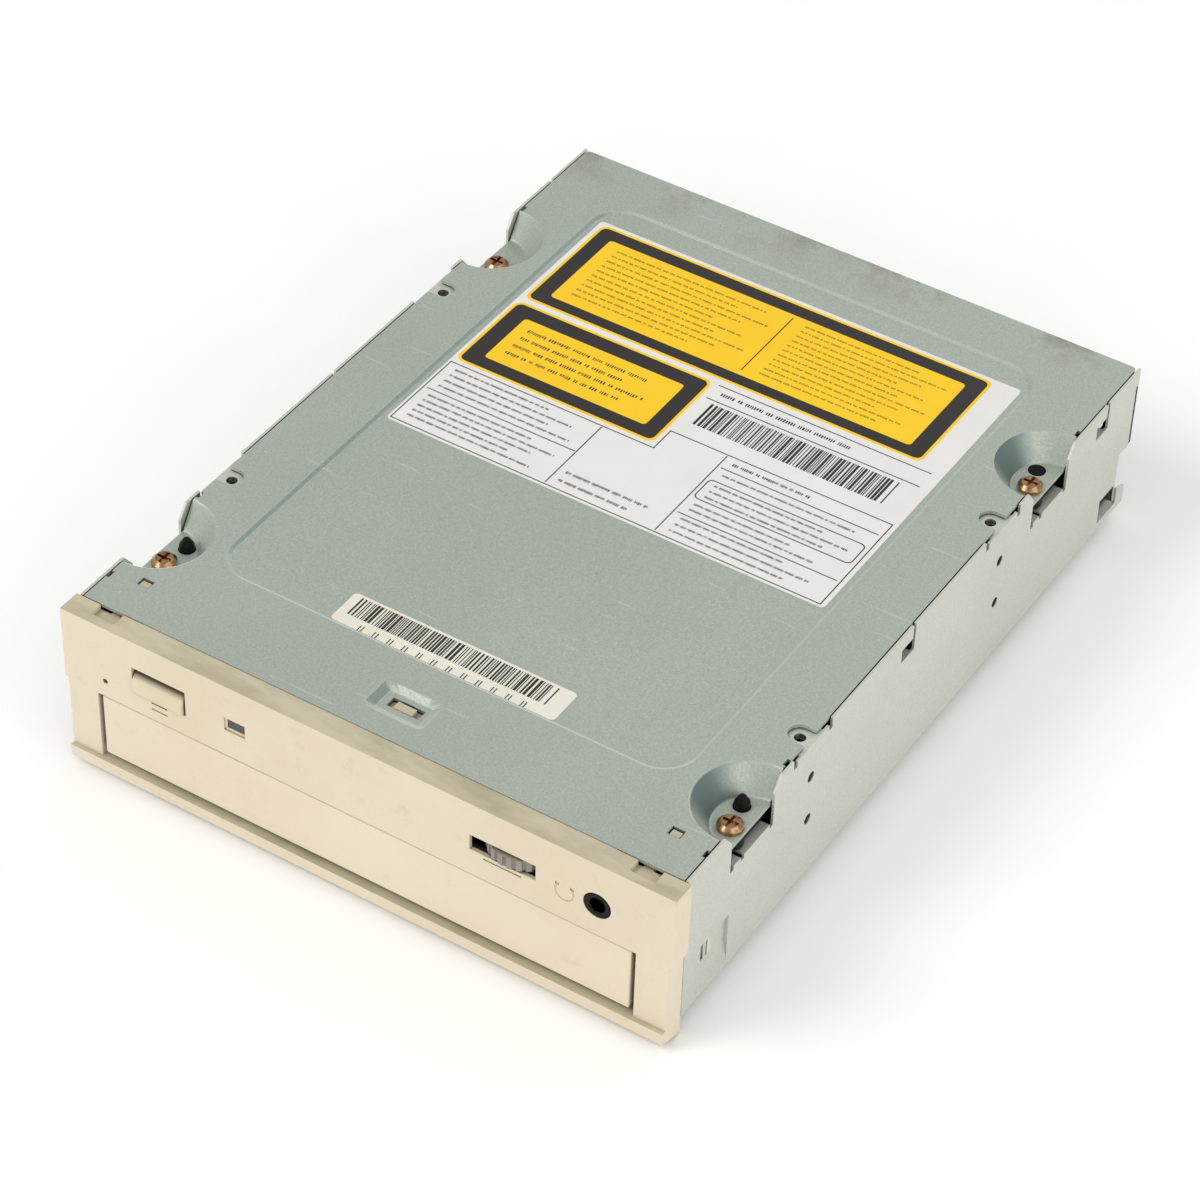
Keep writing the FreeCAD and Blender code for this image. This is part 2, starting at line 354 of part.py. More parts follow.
class Piece:
    """One piece of the drive: joined blocks, then cuts, then late blocks, then late cuts."""

    def __init__(self, label, at=("0", "0", "0"), kept=True):
        self.label = label
        self.at = at
        self.steps = {(late, how): [] for late in (False, True) for how in ("add", "cut")}
        self.late = False
        if kept:
            drafts.append(self)

    def block(self, kind, sizes, base, turn, how):
        feature = document.addObject("Part::" + kind, kind.lower())
        feature.Placement = FreeCAD.Placement(FreeCAD.Vector(), turn)
        for path, text in sizes.items():
            bind(feature, path, text)
        for axis, text in zip("xyz", base):
            bind(feature, "Placement.Base." + axis, text)
        return self.take(feature, how)

    def take(self, feature, how):
        self.steps[self.late, how].append(feature)
        return feature

    def box(self, x, y, z, how="add"):
        """A block between a low and a high value on each axis."""
        spans = ["(%s) - (%s)" % (high, low) for low, high in (x, y, z)]
        sizes = dict(zip(("Length", "Width", "Height"), spans))
        return self.block("Box", sizes, (x[0], y[0], z[0]), TURNS["z"], how)

    def cut_box(self, x, y, z):
        return self.box(x, y, z, "cut")

    def rod(self, axis, across, span, radius, how="add"):
        """A round bar along an axis; across holds its other two coordinates in axis order."""
        sizes = {"Radius": radius, "Height": "(%s) - (%s)" % (span[1], span[0])}
        return self.block("Cylinder", sizes, along(axis, across, span[0]), TURNS[axis], how)

    def cut_rod(self, axis, across, span, radius):
        return self.rod(axis, across, span, radius, "cut")

    def cone(self, axis, across, span, low_r, high_r, how="add"):
        sizes = {"Radius1": low_r, "Radius2": high_r, "Height": "(%s) - (%s)" % (span[1], span[0])}
        return self.block("Cone", sizes, along(axis, across, span[0]), TURNS[axis], how)

    def cut_cone(self, axis, across, span, low_r, high_r):
        return self.cone(axis, across, span, low_r, high_r, "cut")

    def outline(self, plane, points, span, how="add"):
        """A straight-sided outline on a plane, over a span along the remaining axis."""
        drawing = sketch(plane, span[1] if plane == "xz" else span[0])
        turn = 2 * math.pi / len(points)
        start = [FreeCAD.Vector(9 * math.cos(turn * k), 9 * math.sin(turn * k), 0)
                 for k in range(len(points))]
        lines = [drawing.addGeometry(Part.LineSegment(start[k], start[(k + 1) % len(points)]))
                 for k in range(len(points))]
        for here, following in zip(lines, lines[1:] + lines[:1]):
            drawing.addConstraint(Sketcher.Constraint("Coincident", here, 2, following, 1))
        for line, (across, up) in zip(lines, points):
            for kind, text in (("DistanceX", across), ("DistanceY", up)):
                set_rule(drawing, Sketcher.Constraint(kind, -1, 1, line, 1, 1.0), text)
        return self.take(extrusion(drawing, "(%s) - (%s)" % (span[1], span[0])), how)

    def slab(self, plane, across, up, span, radius, how="add"):
        """A block with four round corners, upright on a plane."""
        drawing = rounded(plane, across, up, radius, span[1] if plane == "xz" else span[0])
        return self.take(extrusion(drawing, "(%s) - (%s)" % (span[1], span[0])), how)

    def sink(self, x, y, radius, level, deep, slope):
        """A pressed panel: a sheet with its upper face at a level goes down, with sloped sides."""
        for how, top in (("add", "(%s) - sheet" % level), ("cut", level)):
            tapered = extrusion(rounded("xy", x, y, radius, top), deep)
            tapered.Reversed = True
            bind(tapered, "TaperAngle", "-(%s)" % slope)
            self.take(tapered, how)

    def assemble(self):
        """Joins and cuts the blocks, step by step."""
        whole = joined(self.steps[False, "add"])
        for late, how in ((False, "cut"), (True, "add"), (True, "cut")):
            blocks = self.steps[late, how]
            if blocks and how == "add":
                whole = joined([whole] + blocks)
            elif blocks:
                cut = document.addObject("Part::Cut", "cut")
                cut.Base, cut.Tool = whole, joined(blocks)
                whole = cut
        return whole

    def settle(self):
        """Assembles the piece under its own label and brings it to its place in the part."""
        place(self.assemble(), self.label, self.at)


def joined(blocks):
    if len(blocks) == 1:
        return blocks[0]
    union = document.addObject("Part::MultiFuse", "union")
    union.Shapes = blocks
    return union


def sketch(plane, offset):
    """A sketch across a plane; the one on xz faces the front, as its turn makes it."""
    drawing = document.addObject("Sketcher::SketchObject", "outline")
    drawing.Placement = FreeCAD.Placement(FreeCAD.Vector(), PLANE_TURNS[plane])
    bind(drawing, "Placement.Base." + NORMALS[plane], offset)
    return drawing


def rounded(plane, across, up, radius, offset):
    """A sketch of a rectangle with round corners."""
    drawing = sketch(plane, offset)
    half, corner = 10, 2
    flat = half - corner
    ends = [((-flat, -half), (flat, -half)), ((half, -flat), (half, flat)),
            ((flat, half), (-flat, half)), ((-half, flat), (-half, -flat))]
    middles = [(flat, -flat), (flat, flat), (-flat, flat), (-flat, -flat)]
    lines = [drawing.addGeometry(Part.LineSegment(FreeCAD.Vector(*a, 0), FreeCAD.Vector(*b, 0)))
             for a, b in ends]
    arcs = []
    for number, middle in enumerate(middles):
        begin = (number - 1) * math.pi / 2
        circle = Part.Circle(FreeCAD.Vector(*middle, 0), FreeCAD.Vector(0, 0, 1), corner)
        arcs.append(drawing.addGeometry(Part.ArcOfCircle(circle, begin, begin + math.pi / 2)))
    rule = Sketcher.Constraint
    for number in range(4):
        drawing.addConstraint(rule("Tangent", lines[number], 2, arcs[number], 1))
        drawing.addConstraint(rule("Tangent", arcs[number], 2, lines[(number + 1) % 4], 1))
    for number in (0, 2):
        drawing.addConstraint(rule("Horizontal", lines[number]))
        drawing.addConstraint(rule("Vertical", lines[number + 1]))
    for arc in arcs[1:]:
        drawing.addConstraint(rule("Equal", arcs[0], arc))
    set_rule(drawing, rule("Radius", arcs[0], corner), radius)
    for kind, line, start, text in (("DistanceY", lines[0], -half, up[0]),
                                    ("DistanceY", lines[2], half, up[1]),
                                    ("DistanceX", lines[3], -half, across[0]),
                                    ("DistanceX", lines[1], half, across[1])):
        set_rule(drawing, rule(kind, -1, 1, line, 1, start), text)
    return drawing


def extrusion(drawing, length):
    """A sketch's outline carried along its normal."""
    feature = document.addObject("Part::Extrusion", "extrusion")
    feature.Base = drawing
    feature.DirMode = "Normal"
    feature.Solid = True
    bind(feature, "LengthFwd", length)
    return feature


def place(feature, label, at=("0", "0", "0")):
    """Names a finished piece and adds the way from the drive's frame to the part's."""
    own = dict(feature.ExpressionEngine)
    feature.Label = label
    for axis, text, shift in zip("xyz", at, ("0", ORIGIN_Y, ORIGIN_Z)):
        path = ".Placement.Base." + axis
        feature.setExpression(path, "(%s) + (%s)" % (own.get(path, "0"),
                                                     bound("(%s) + %s" % (text, shift))))
    pieces.append(feature)


def along(axis, across, start):
    """The three coordinates of a point from its place along an axis and the two across it."""
    place = list(across)
    place.insert("xyz".index(axis), start)
    return place


def set_rule(drawing, rule, text):
    number = drawing.addConstraint(rule)
    bind(drawing, "Constraints[%d]" % number, text)


def shaped(label, shape):
    """A piece whose shape is made by a function, from the sheet's values."""
    feature = document.addObject("Part::Feature", label)
    feature.Shape = shape
    feature.Placement = FreeCAD.Placement()
    place(feature, label)
    return feature


def copies(label, master, places):
    """Separate copies of one body at the given places: a set of identical fasteners."""
    pattern = master.assemble()
    document.recompute()
    model = pattern.Shape
    return shaped(label, Part.makeCompound([model.translated(FreeCAD.Vector(*place))
                                            for place in places]))


def cylinder(x, y, low, high, radius):
    return Part.makeCylinder(radius, high - low, FreeCAD.Vector(x, y, low))


def block(x, y, z):
    corner = FreeCAD.Vector(x[0], y[0], z[0])
    return Part.makeBox(x[1] - x[0], y[1] - y[0], z[1] - z[0], corner)


def flank_angle(radius, base_r, pitch_r, half_tooth):
    """Half the angle that a tooth fills at a radius, on an involute from the base circle."""
    def involute(at_r):
        lean = math.acos(min(1.0, base_r / at_r))
        return math.tan(lean) - lean
    return half_tooth / pitch_r + involute(pitch_r) - involute(max(radius, base_r))


PRESSURE_ANGLE = math.radians(20)
ADDENDUM = 0.85         # tooth height above the pitch line, in modules
DEDENDUM = 1.15         # tooth depth below it
FLANK_STEPS = 4


def gear_disc(module, teeth, x, y, low, high, tooth_turn):
    """A spur gear with involute teeth, one of them pointing along tooth_turn degrees."""
    pitch_r = module * teeth / 2
    base_r = pitch_r * math.cos(PRESSURE_ANGLE)
    half_tooth = module * math.pi / 4 - module * size("backlash_share") / 2
    root_r = pitch_r - DEDENDUM * module
    tip_r = pitch_r + ADDENDUM * module
    first = max(base_r, root_r)
    radii = [root_r] + [first + (tip_r - first) * k / FLANK_STEPS for k in range(FLANK_STEPS + 1)]
    points = []
    for number in range(teeth):
        middle = math.radians(tooth_turn) + 2 * math.pi * number / teeth
        angles = [flank_angle(radius, base_r, pitch_r, half_tooth) for radius in radii]
        rising = [(radius, middle - angle) for radius, angle in zip(radii, angles)]
        falling = [(radius, middle + angle) for radius, angle in zip(radii, angles)]
        points += rising + falling[::-1]
    corners = [FreeCAD.Vector(x + r * math.cos(a), y + r * math.sin(a), low) for r, a in points]
    face = Part.Face(Part.makePolygon(corners + corners[:1]))
    return face.extrude(FreeCAD.Vector(0, 0, high - low))


def rack_bar(module, pitch_x, back, span, z, gap_y):
    """A toothed bar along Y with teeth to the right, one gap between teeth at gap_y."""
    pitch_long = math.pi * module
    half = pitch_long / 4 - module * size("backlash_share") / 2
    lean = math.tan(PRESSURE_ANGLE)
    tip_half, root_half = half - ADDENDUM * module * lean, half + DEDENDUM * module * lean
    tip_x, root_x = pitch_x + ADDENDUM * module, pitch_x - DEDENDUM * module
    first = math.ceil((span[0] + root_half - gap_y) / pitch_long - 0.5)
    last = math.floor((span[1] - root_half - gap_y) / pitch_long - 0.5)
    points = [(root_x - back, span[0]), (root_x, span[0])]
    for number in range(first, last + 1):
        middle = gap_y + (number + 0.5) * pitch_long
        points += [(root_x, middle - root_half), (tip_x, middle - tip_half),
                   (tip_x, middle + tip_half), (root_x, middle + root_half)]
    points += [(root_x, span[1]), (root_x - back, span[1])]
    corners = [FreeCAD.Vector(across, along_y, z[0]) for across, along_y in points]
    face = Part.Face(Part.makePolygon(corners + corners[:1]))
    return face.extrude(FreeCAD.Vector(0, 0, z[1] - z[0]))


# Outer case

def outer_case():
    part = Piece("outer_case")
    part.slab("xz", ("-case_half", "case_half"), ("-case_drop", "case_drop"),
              ("case_front", "case_rear"), "fold_r")
    crown = (("-crown_half", "crown_half"), ("crown_front", "crown_rear"), "crown_r")
    for how, level in (("add", "-case_drop"), ("cut", "-case_drop + wall")):
        tapered = extrusion(rounded("xy", *crown, level), "crown_tall")
        tapered.Reversed = True
        bind(tapered, "TaperAngle", "-crown_slope")
        part.take(tapered, how)
    part.slab("xz", ("-case_half + wall", "case_half - wall"), ("-case_drop + wall", "case_drop + over"),
              ("case_front - over", "case_rear + over"), "fold_r - wall", "cut")
    part.cut_box(("-case_half - over", "case_half + over"), ("case_front - over", "case_rear + over"),
                 ("0", "case_drop + over"))
    for y in ("first_hole_y", "rear_hole_y"):
        ear_relief(part, y)
    for y in ("dish_y", "rear_dish_y"):
        dish_window(part, y)
    for y in ("slot_a_y", "slot_b_y"):
        lanced_slot(part, y)
    rear_corners(part)
    part.late = True
    emboss(part)
    side_holes(part)
    part.box(("-case_half + fold_r", "case_half - fold_r"), ("case_rear - wall", "case_rear"),
             ("-case_drop", "-rear_lip_drop"))


def ear_relief(part, y):
    """The wall's top is cut down beside each tapped ear, which is folded inwards from it."""
    part.late = False
    across = ("-case_half - over", "case_half + over")
    part.cut_box(across, ("%s - relief_half" % y, "%s + relief_half" % y), ("-ear_drop", "over"))
    for low, high in (("-relief_half", "-relief_half + relief_wide"),
                      ("relief_half - relief_wide", "relief_half")):
        part.cut_box(across, ("%s + (%s)" % (y, low), "%s + (%s)" % (y, high)),
                     ("-relief_drop - wall", "over"))
    part.late = True
    for side in (1, -1):
        part.box(both(side, "case_half - ear_reach", "case_half"),
                 ("%s - ear_half" % y, "%s + ear_half" % y), ("-ear_drop - wall", "-ear_drop"))
        part.rod("z", (signed(side, "ear_hole_x"), y), ("-ear_drop - wall - collar_deep", "-ear_drop"),
                 "collar_r")
        part.cut_rod("z", (signed(side, "ear_hole_x"), y),
                     ("-ear_drop - wall - collar_deep - over", "over"),
                     "side_hole_r")


def dish_window(part, y):
    """An open notch in both walls beside a dish, with a flange folded in along its foot."""
    part.late = False
    front, rear = "%s - window_back" % y, "%s - window_back + window_long" % y
    across = ("-case_half - over", "case_half + over")
    part.outline("yz", [(front, "-window_drop"), (rear, "-window_drop"), (rear, "-window_lean"),
                        ("%s + window_lean" % rear, "over"), ("%s - window_lean" % front, "over"),
                        (front, "-window_lean")], across, "cut")
    for offset in ("0", "notch_step", "window_long - notch_wide"):
        part.cut_box(across, ("%s + %s" % (front, offset), "%s + %s + notch_wide" % (front, offset)),
                     ("-notch_drop", "-window_drop + over"))
    part.late = True
    for side in (1, -1):
        reach = both(side, "case_half - wall - flange_reach", "case_half - wall / 2")
        level = ("-window_drop - wall", "-window_drop")
        part.box(reach, ("%s + notch_wide" % front, "%s + notch_step" % front), level)
        part.box(reach, ("%s + notch_step + notch_wide" % front, "%s - notch_wide" % rear), level)


def lanced_slot(part, y):
    """A cut that runs to the wall's edge, with a small flange folded in at its foot."""
    part.late = False
    across = ("-case_half - over", "case_half + over")
    part.cut_box(across, (y, "%s + slot_long" % y), ("-slot_drop", "-slot_top_drop"))
    part.cut_box(across, ("%s + slot_long - slot_wide" % y, "%s + slot_long" % y), ("-slot_drop", "over"))
    part.late = True
    for side in (1, -1):
        part.box(both(side, "case_half - wall - flange_reach", "case_half - wall / 2"),
                 ("%s + slot_wide" % y, "%s + slot_long - slot_wide" % y),
                 ("-slot_drop - wall", "-slot_drop"))


def rear_corners(part):
    """Both walls are cut back at the rear, over a tab folded in above the lower corner."""
    part.late = False
    across = ("-case_half - over", "case_half + over")
    part.cut_box(across, ("case_rear - post_gap_y", "case_rear + over"),
                 ("-rear_cut_top", "-post_top_drop"))
    part.cut_box(across, ("rear_cut_y", "case_rear + over"), ("-rear_cut_low", "-rear_cut_top"))
    part.outline("yz", [("tab_front_y", "-tab_drop"), ("tab_rear_y", "-tab_drop"),
                        ("tab_rear_y", "-rear_lip_drop + tab_slope"),
                        ("case_rear + over", "-rear_lip_drop"),
                        ("case_rear + over", "-rear_cut_low + over"),
                        ("rear_cut_y", "-rear_cut_low + over"),
                        ("rear_cut_y", "-rear_cut_low"), ("tab_front_y", "-rear_cut_low")],
                 across, "cut")
    part.late = True
    for side in (1, -1):
        part.box(both(side, "case_half - wall - tab_reach", "case_half - wall / 2"),
                 ("tab_front_y + notch_wide", "tab_rear_y"), ("-tab_drop - wall", "-tab_drop"))


def emboss(part):
    """A pressed-in pocket low at the front of each wall, with two slots for the bezel's arm."""
    for side in (1, -1):
        inner = "case_half - wall - emboss_deep"
        part.box(both(side, inner, "case_half - wall / 2"),
                 ("emboss_front - wall", "emboss_rear + wall"),
                 ("-emboss_low - wall", "-emboss_top + wall"))
        corner_x = signed(side, "case_half + over")
        floor_x = signed(side, "case_half - emboss_deep")
        edge_x = signed(side, "case_half")
        part.outline("xz", [(corner_x, "-emboss_top"), (floor_x, "-emboss_top"),
                            (floor_x, "-emboss_slope_drop"), (edge_x, "-emboss_low"),
                            (corner_x, "-emboss_low")], ("emboss_front", "emboss_rear"), "cut")
        for offset in ("0", "emboss_slot_pitch"):
            part.cut_box(both(side, "case_half - wall - emboss_deep - over", "case_half + over"),
                         ("emboss_slot_y + %s" % offset, "emboss_slot_y + %s + emboss_slot_wide" % offset),
                         ("-emboss_slot_drop", "-emboss_top - over"))


def side_holes(part):
    """Four tapped holes with collars in each wall."""
    for y in ("first_hole_y", "rear_hole_y"):
        for z in ("-upper_hole_drop", "-lower_hole_drop"):
            for side in (1, -1):
                part.rod("x", (y, z), both(side, "case_half - wall - collar_deep", "case_half - wall / 2"),
                         "collar_r")
            part.cut_rod("x", (y, z), ("-case_half - over", "case_half + over"), "side_hole_r")


# Bottom cover, its screws and labels

def bottom_cover():
    part = Piece("bottom_cover")
    part.slab("xy", ("-cover_half", "cover_half"), ("cover_front - 2 * cover_corner_r", "cover_rear"),
              ("-sheet", "0"), "cover_corner_r")
    part.cut_box(("-case_half", "case_half"), ("cover_front - 3 * cover_corner_r", "cover_front"),
                 ("-sheet - over", "over"))
    part.box(("-cover_half + cover_end_gap", "cover_half - cover_end_gap"),
             ("cover_rear - sheet", "cover_rear"), ("-cover_rear_drop", "-sheet / 2"))
    for side in (1, -1):
        for low, high in (("first_hole_y + relief_half + flange_gap", "slot_a_y - flange_gap"),
                          ("slot_a_y + slot_long + flange_gap", "rear_hole_y - relief_half - flange_gap")):
            part.box(both(side, "cover_half - sheet", "cover_half"), (low, high),
                     ("-cover_flange_drop", "-sheet / 2"))
    part.sink(("-panel_half", "panel_half"), ("panel_front", "panel_rear"), "panel_r", "0",
              "panel_deep", "panel_slope")
    part.sink(("dimple_x - dimple_half_x", "dimple_x + dimple_half_x"),
              ("dimple_front", "dimple_rear"), "dimple_r", "0", "dimple_deep", "dimple_slope")
    part.cut_box(("dimple_slot_x - dimple_slot_half", "dimple_slot_x + dimple_slot_half"),
                 ("dimple_slot_front", "dimple_slot_front + dimple_slot_long"),
                 ("-dimple_deep - sheet - over", "0"))
    for side in (1, -1):
        cover_dishes(part, side)
        cover_holes(part, side)
    part.cut_rod("z", ("stud_x", "stud_y"), DISH_FLOOR, "stud_r + pin_play")


DISH_FLOOR = ("-dish_deep - sheet - over", "-dish_deep + over")


def cover_dishes(part, side):
    """Two dishes at the cover's edge, each open to the side, with its screw's hole."""
    for y in ("dish_y", "rear_dish_y"):
        part.cone("z", (signed(side, "dish_x"), y), ("-dish_deep - sheet", "0"),
                  "dish_floor_r + sheet", "dish_rim_r + sheet")
        part.cut_cone("z", (signed(side, "dish_x"), y), ("-dish_deep", "0"), "dish_floor_r", "dish_rim_r")
    part.cut_box(both(side, "cover_half", "dish_x + 2 * dish_rim_r"), ("0", "case_rear"),
                 ("-dish_deep - sheet - over", "over"))
    for y in ("screw_y", "rear_screw_y"):
        part.cut_rod("z", (signed(side, "screw_x"), y), DISH_FLOOR, "screw_r + 2 * screw_play")
    part.cut_rod("z", (signed(side, "pin_x"), "pin_y"), DISH_FLOOR, "pin_r + pin_play")


def cover_holes(part, side):
    """Keyholes over the tapped ears, a latch hole, and small notches in the cover's edge."""
    through = ("-sheet - over", "over")
    for y in ("first_hole_y", "rear_hole_y"):
        part.cut_rod("z", (signed(side, "ear_hole_x"), y), through, "keyhole_r")
        part.cut_box(both(side, "ear_hole_x", "case_half"), ("%s - keyhole_r" % y, "%s + keyhole_r" % y),
                     through)
    part.cut_box(both(side, "latch_hole_x - latch_hole_half", "latch_hole_x + latch_hole_half"),
                 ("latch_hole_front", "latch_hole_front + latch_hole_long"), through)
    for y in ("edge_notch_y", "first_hole_y - relief_half - edge_notch_wide / 2",
              "slot_b_y - edge_notch_ahead"):
        part.cut_box(both(side, "cover_half - edge_notch_deep", "case_half"),
                     ("%s - edge_notch_wide / 2" % y, "%s + edge_notch_wide / 2" % y), through)


def pan_screw(head_r, head_tall, dome, shank_r, shank_long, cross_long, cross_deep):
    """A cross-head screw that points down, with the underside of its head at the origin."""
    part = Piece("screw_pattern", kept=False)
    part.rod("z", ("0", "0"), ("0", "%s - %s" % (head_tall, dome)), head_r)
    part.cone("z", ("0", "0"), ("%s - %s" % (head_tall, dome), head_tall), head_r,
              "%s - %s" % (head_r, dome))
    part.rod("z", ("0", "0"), ("-(%s)" % shank_long, "0"), shank_r)
    for x, y in ((cross_long, "cross_wide"), ("cross_wide", cross_long)):
        part.cut_box(("-%s / 2" % x, "%s / 2" % x), ("-%s / 2" % y, "%s / 2" % y),
                     ("%s - %s" % (head_tall, cross_deep), "%s + over" % head_tall))
    return part


def cover_screws():
    screw = pan_screw("screw_head_r", "screw_head_tall", "screw_dome", "screw_r", "screw_long",
                      "cross_long", "cross_deep")
    front, rear = size("screw_y"), size("rear_screw_y")
    places = [(side * size("screw_x"), y, -size("dish_deep")) for side in (1, -1)
              for y in (front, rear)]
    copies("cover_screws", screw, places)


def labels():
    level = ("-panel_deep", "-panel_deep + label_thick")
    main = Piece("main_label")
    main.slab("xy", ("-label_half", "label_half"), ("label_front", "label_rear"), level, "label_r")
    tag = Piece("barcode_label")
    tag.slab("xy", ("-tag_half", "tag_half"), ("tag_front", "tag_rear"), level, "tag_r")


# Bezel and the tray's front

def front_bezel():
    part = Piece("front_bezel")
    part.box(("-bezel_half", "bezel_half"), ("-bezel_thick", "0"), ("-bezel_step_drop", "-bezel_top_drop"))
    part.box(("-pillar_half", "pillar_half"), ("-bezel_thick", "0"), ("-lip_drop", "-bezel_step_drop"))
    part.outline("yz", [("-lip_reach", "-lip_drop"), ("-lip_reach", "-lip_front_drop"),
                        ("0", "-foot_drop"), ("0", "-lip_drop")], ("-pillar_half", "pillar_half"))
    inside = "-bezel_thick + bezel_wall"
    part.cut_box(("-bezel_half + bezel_wall", "bezel_half - bezel_wall"), (inside, "over"),
                 ("-opening_top_drop + bezel_wall", "-bezel_top_drop - bezel_wall"))
    part.cut_box(("-opening_half", "opening_half"), ("-bezel_thick - over", "over"),
                 ("-lip_drop", "-opening_top_drop"))
    for side in (1, -1):
        part.cut_box(both(side, "opening_half + bezel_wall", "pillar_half - bezel_wall"), (inside, "over"),
                     ("-lip_drop + bezel_wall", "-opening_top_drop"))
    bezel_arms(part, inside)
    bezel_windows(part)
    bezel_marks(part)


def bezel_arms(part, inside):
    """The three arms that clip into the cover, and the two that clip into the case."""
    start = "%s - bezel_wall / 2" % inside
    for side in (1, -1):
        notch = both(side, "bezel_notch_x - bezel_notch_half", "bezel_notch_x + bezel_notch_half")
        part.cut_box(notch, ("-bezel_notch_long", "over"), ("-bezel_top_drop - bezel_notch_deep", "over"))
    part.late = True
    for side in (1, -1):
        arm = both(side, "latch_hole_x - arm_half", "latch_hole_x + arm_half")
        part.box(arm, (start, "arm_end"), ("-arm_drop - arm_thick", "-arm_drop"))
        part.box(arm, ("arm_end - hook_long", "arm_end - hook_play"), ("-arm_drop - hair", "-sheet / 2"))
        outer = "case_half - wall - emboss_deep - side_arm_gap"
        part.box(both(side, "%s - side_arm_thick" % outer, outer), (start, "emboss_rear - side_arm_short"),
                 ("-side_arm_low", "-side_arm_top"))
        hook_y = "emboss_slot_y + emboss_slot_pitch + snug"
        part.box(both(side, "%s - hair" % outer, "case_half - wall"),
                 (hook_y, "%s + emboss_slot_wide - 2 * snug" % hook_y),
                 ("-emboss_slot_drop + near", "-emboss_top - over - near"))
    part.box(("dimple_slot_x - dimple_slot_half", "dimple_slot_x + dimple_slot_half"),
             (start, "dimple_slot_front + dimple_slot_long - hair"),
             ("-mid_arm_drop - arm_thick", "-mid_arm_drop"))
    part.box(("dimple_slot_x - mid_hook_half", "dimple_slot_x + mid_hook_half"),
             ("dimple_slot_front + hair", "dimple_slot_front + mid_hook_long"),
             ("-mid_arm_drop - hair", "-mid_hook_drop"))


def bezel_windows(part):
    part.late = False
    through = ("-bezel_thick - over", "-bezel_thick + bezel_wall + root")
    part.cut_box(("button_x - button_half", "button_x + button_half"), through,
                 ("-button_low_drop", "-button_top_drop"))
    part.cut_rod("y", ("pinhole_x", "-pinhole_drop"), through, "pinhole_r")
    part.cut_box(("lamp_x - lamp_half", "lamp_x + lamp_half"), through,
                 ("-lamp_low_drop", "-lamp_top_drop"))
    part.cut_box(("lamp_rim_x - lamp_rim_half", "lamp_rim_x + lamp_rim_half"),
                 ("-bezel_thick - over", "-bezel_thick + lamp_rim_deep"),
                 ("-lamp_rim_low", "-lamp_rim_top"))
    part.cut_box(("volume_slot_x - volume_slot_half", "volume_slot_x + volume_slot_half"), through,
                 ("-volume_slot_low", "-volume_slot_top"))
    part.cut_box(("volume_slot_x - volume_slot_half - slot_pocket", "volume_slot_x + volume_slot_half"),
                 ("-bezel_thick + slot_skin", "-bezel_thick + bezel_wall + root"),
                 ("-volume_slot_low - slot_pocket", "-volume_slot_top + slot_pocket / 2"))
    part.cut_rod("y", ("jack_x", "-jack_drop"), through, "jack_ring_r + jack_hole_play")


def bezel_marks(part):
    """Engraved signs: two bars under the button, a bar under the wheel, headphones by the jack."""
    face = ("-bezel_thick - over", "-bezel_thick + engrave_deep")
    for drop in ("mark_first_drop", "mark_second_drop"):
        part.cut_box(("button_x - mark_half", "button_x + mark_half"), face,
                     ("-%s - engrave_wide / 2" % drop, "-%s + engrave_wide / 2" % drop))
    part.cut_box(("volume_slot_x - wedge_mark_half", "volume_slot_x + wedge_mark_half"), face,
                 ("-wedge_mark_drop - engrave_wide / 2", "-wedge_mark_drop + engrave_wide / 2"))
    opening = TURNS["y"].multiply(FreeCAD.Rotation(size("icon_open") / 2 - 90, 0, 0))
    part.block("Torus", {"Radius1": "icon_r", "Radius2": "engrave_deep", "Angle3": "360 - icon_open"},
               ("icon_x", "-bezel_thick", "-icon_drop"), opening, "cut")
    for side in (1, -1):
        ear = "icon_x + %d * icon_r * sin(icon_open / 2 * 1deg)" % side
        part.cut_box(("%s - icon_ear_half" % ear, "%s + icon_ear_half" % ear), face,
                     ("-icon_drop + icon_r * cos(icon_open / 2 * 1deg)", "-icon_ear_top"))


def tray_front():
    part = Piece("tray_front")
    part.box(("-fascia_half", "fascia_half"), ("-bezel_thick", "-bezel_thick + fascia_deep"),
             ("-fascia_low_drop", "-fascia_top_drop"))
    for side in (1, -1):
        part.cut_box(both(side, "fascia_rib_half", "fascia_half - fascia_rim"),
                     ("-bezel_thick + fascia_skin", "0"),
                     ("-fascia_low_drop + fascia_rim", "-fascia_top_drop - fascia_rim"))


# Controls behind the bezel

# The button's rounded front from its top to its foot: setback and depth, as shares
BUTTON_PROFILE = ((1.0, 0.0), (0.62, 0.07), (0.3, 0.2), (0.1, 0.37), (0.0, 0.6), (0.0, 0.85), (0.12, 1.0))


def eject_button():
    part = Piece("eject_button")
    x = ("button_x - button_half + button_side_gap", "button_x + button_half - button_side_gap")
    top, low = "-button_top_drop - button_gap", "-button_low_drop + button_gap"
    face, back = "-bezel_thick - button_proud", "-bezel_thick + button_thick"
    bulge = [("%s + button_bulge * %s" % (face, reach), "%s - (%s - (%s)) * %s" % (top, top, low, down))
             for reach, down in BUTTON_PROFILE]
    part.outline("yz", [(back, top)] + bulge + [(back, low)], x)
    part.box(("button_x - button_half - button_lip", "button_x + button_half + button_lip"),
             ("-bezel_thick + bezel_wall + hair", "%s + 2 * snug" % back),
             ("-button_low_drop - button_lip", "-button_top_drop + button_lip"))
    part.box(("button_x - stem_half", "button_x + stem_half"), ("%s - root" % back, "stem_end"),
             ("-stem_drop - stem_half", "-stem_drop + stem_half"))


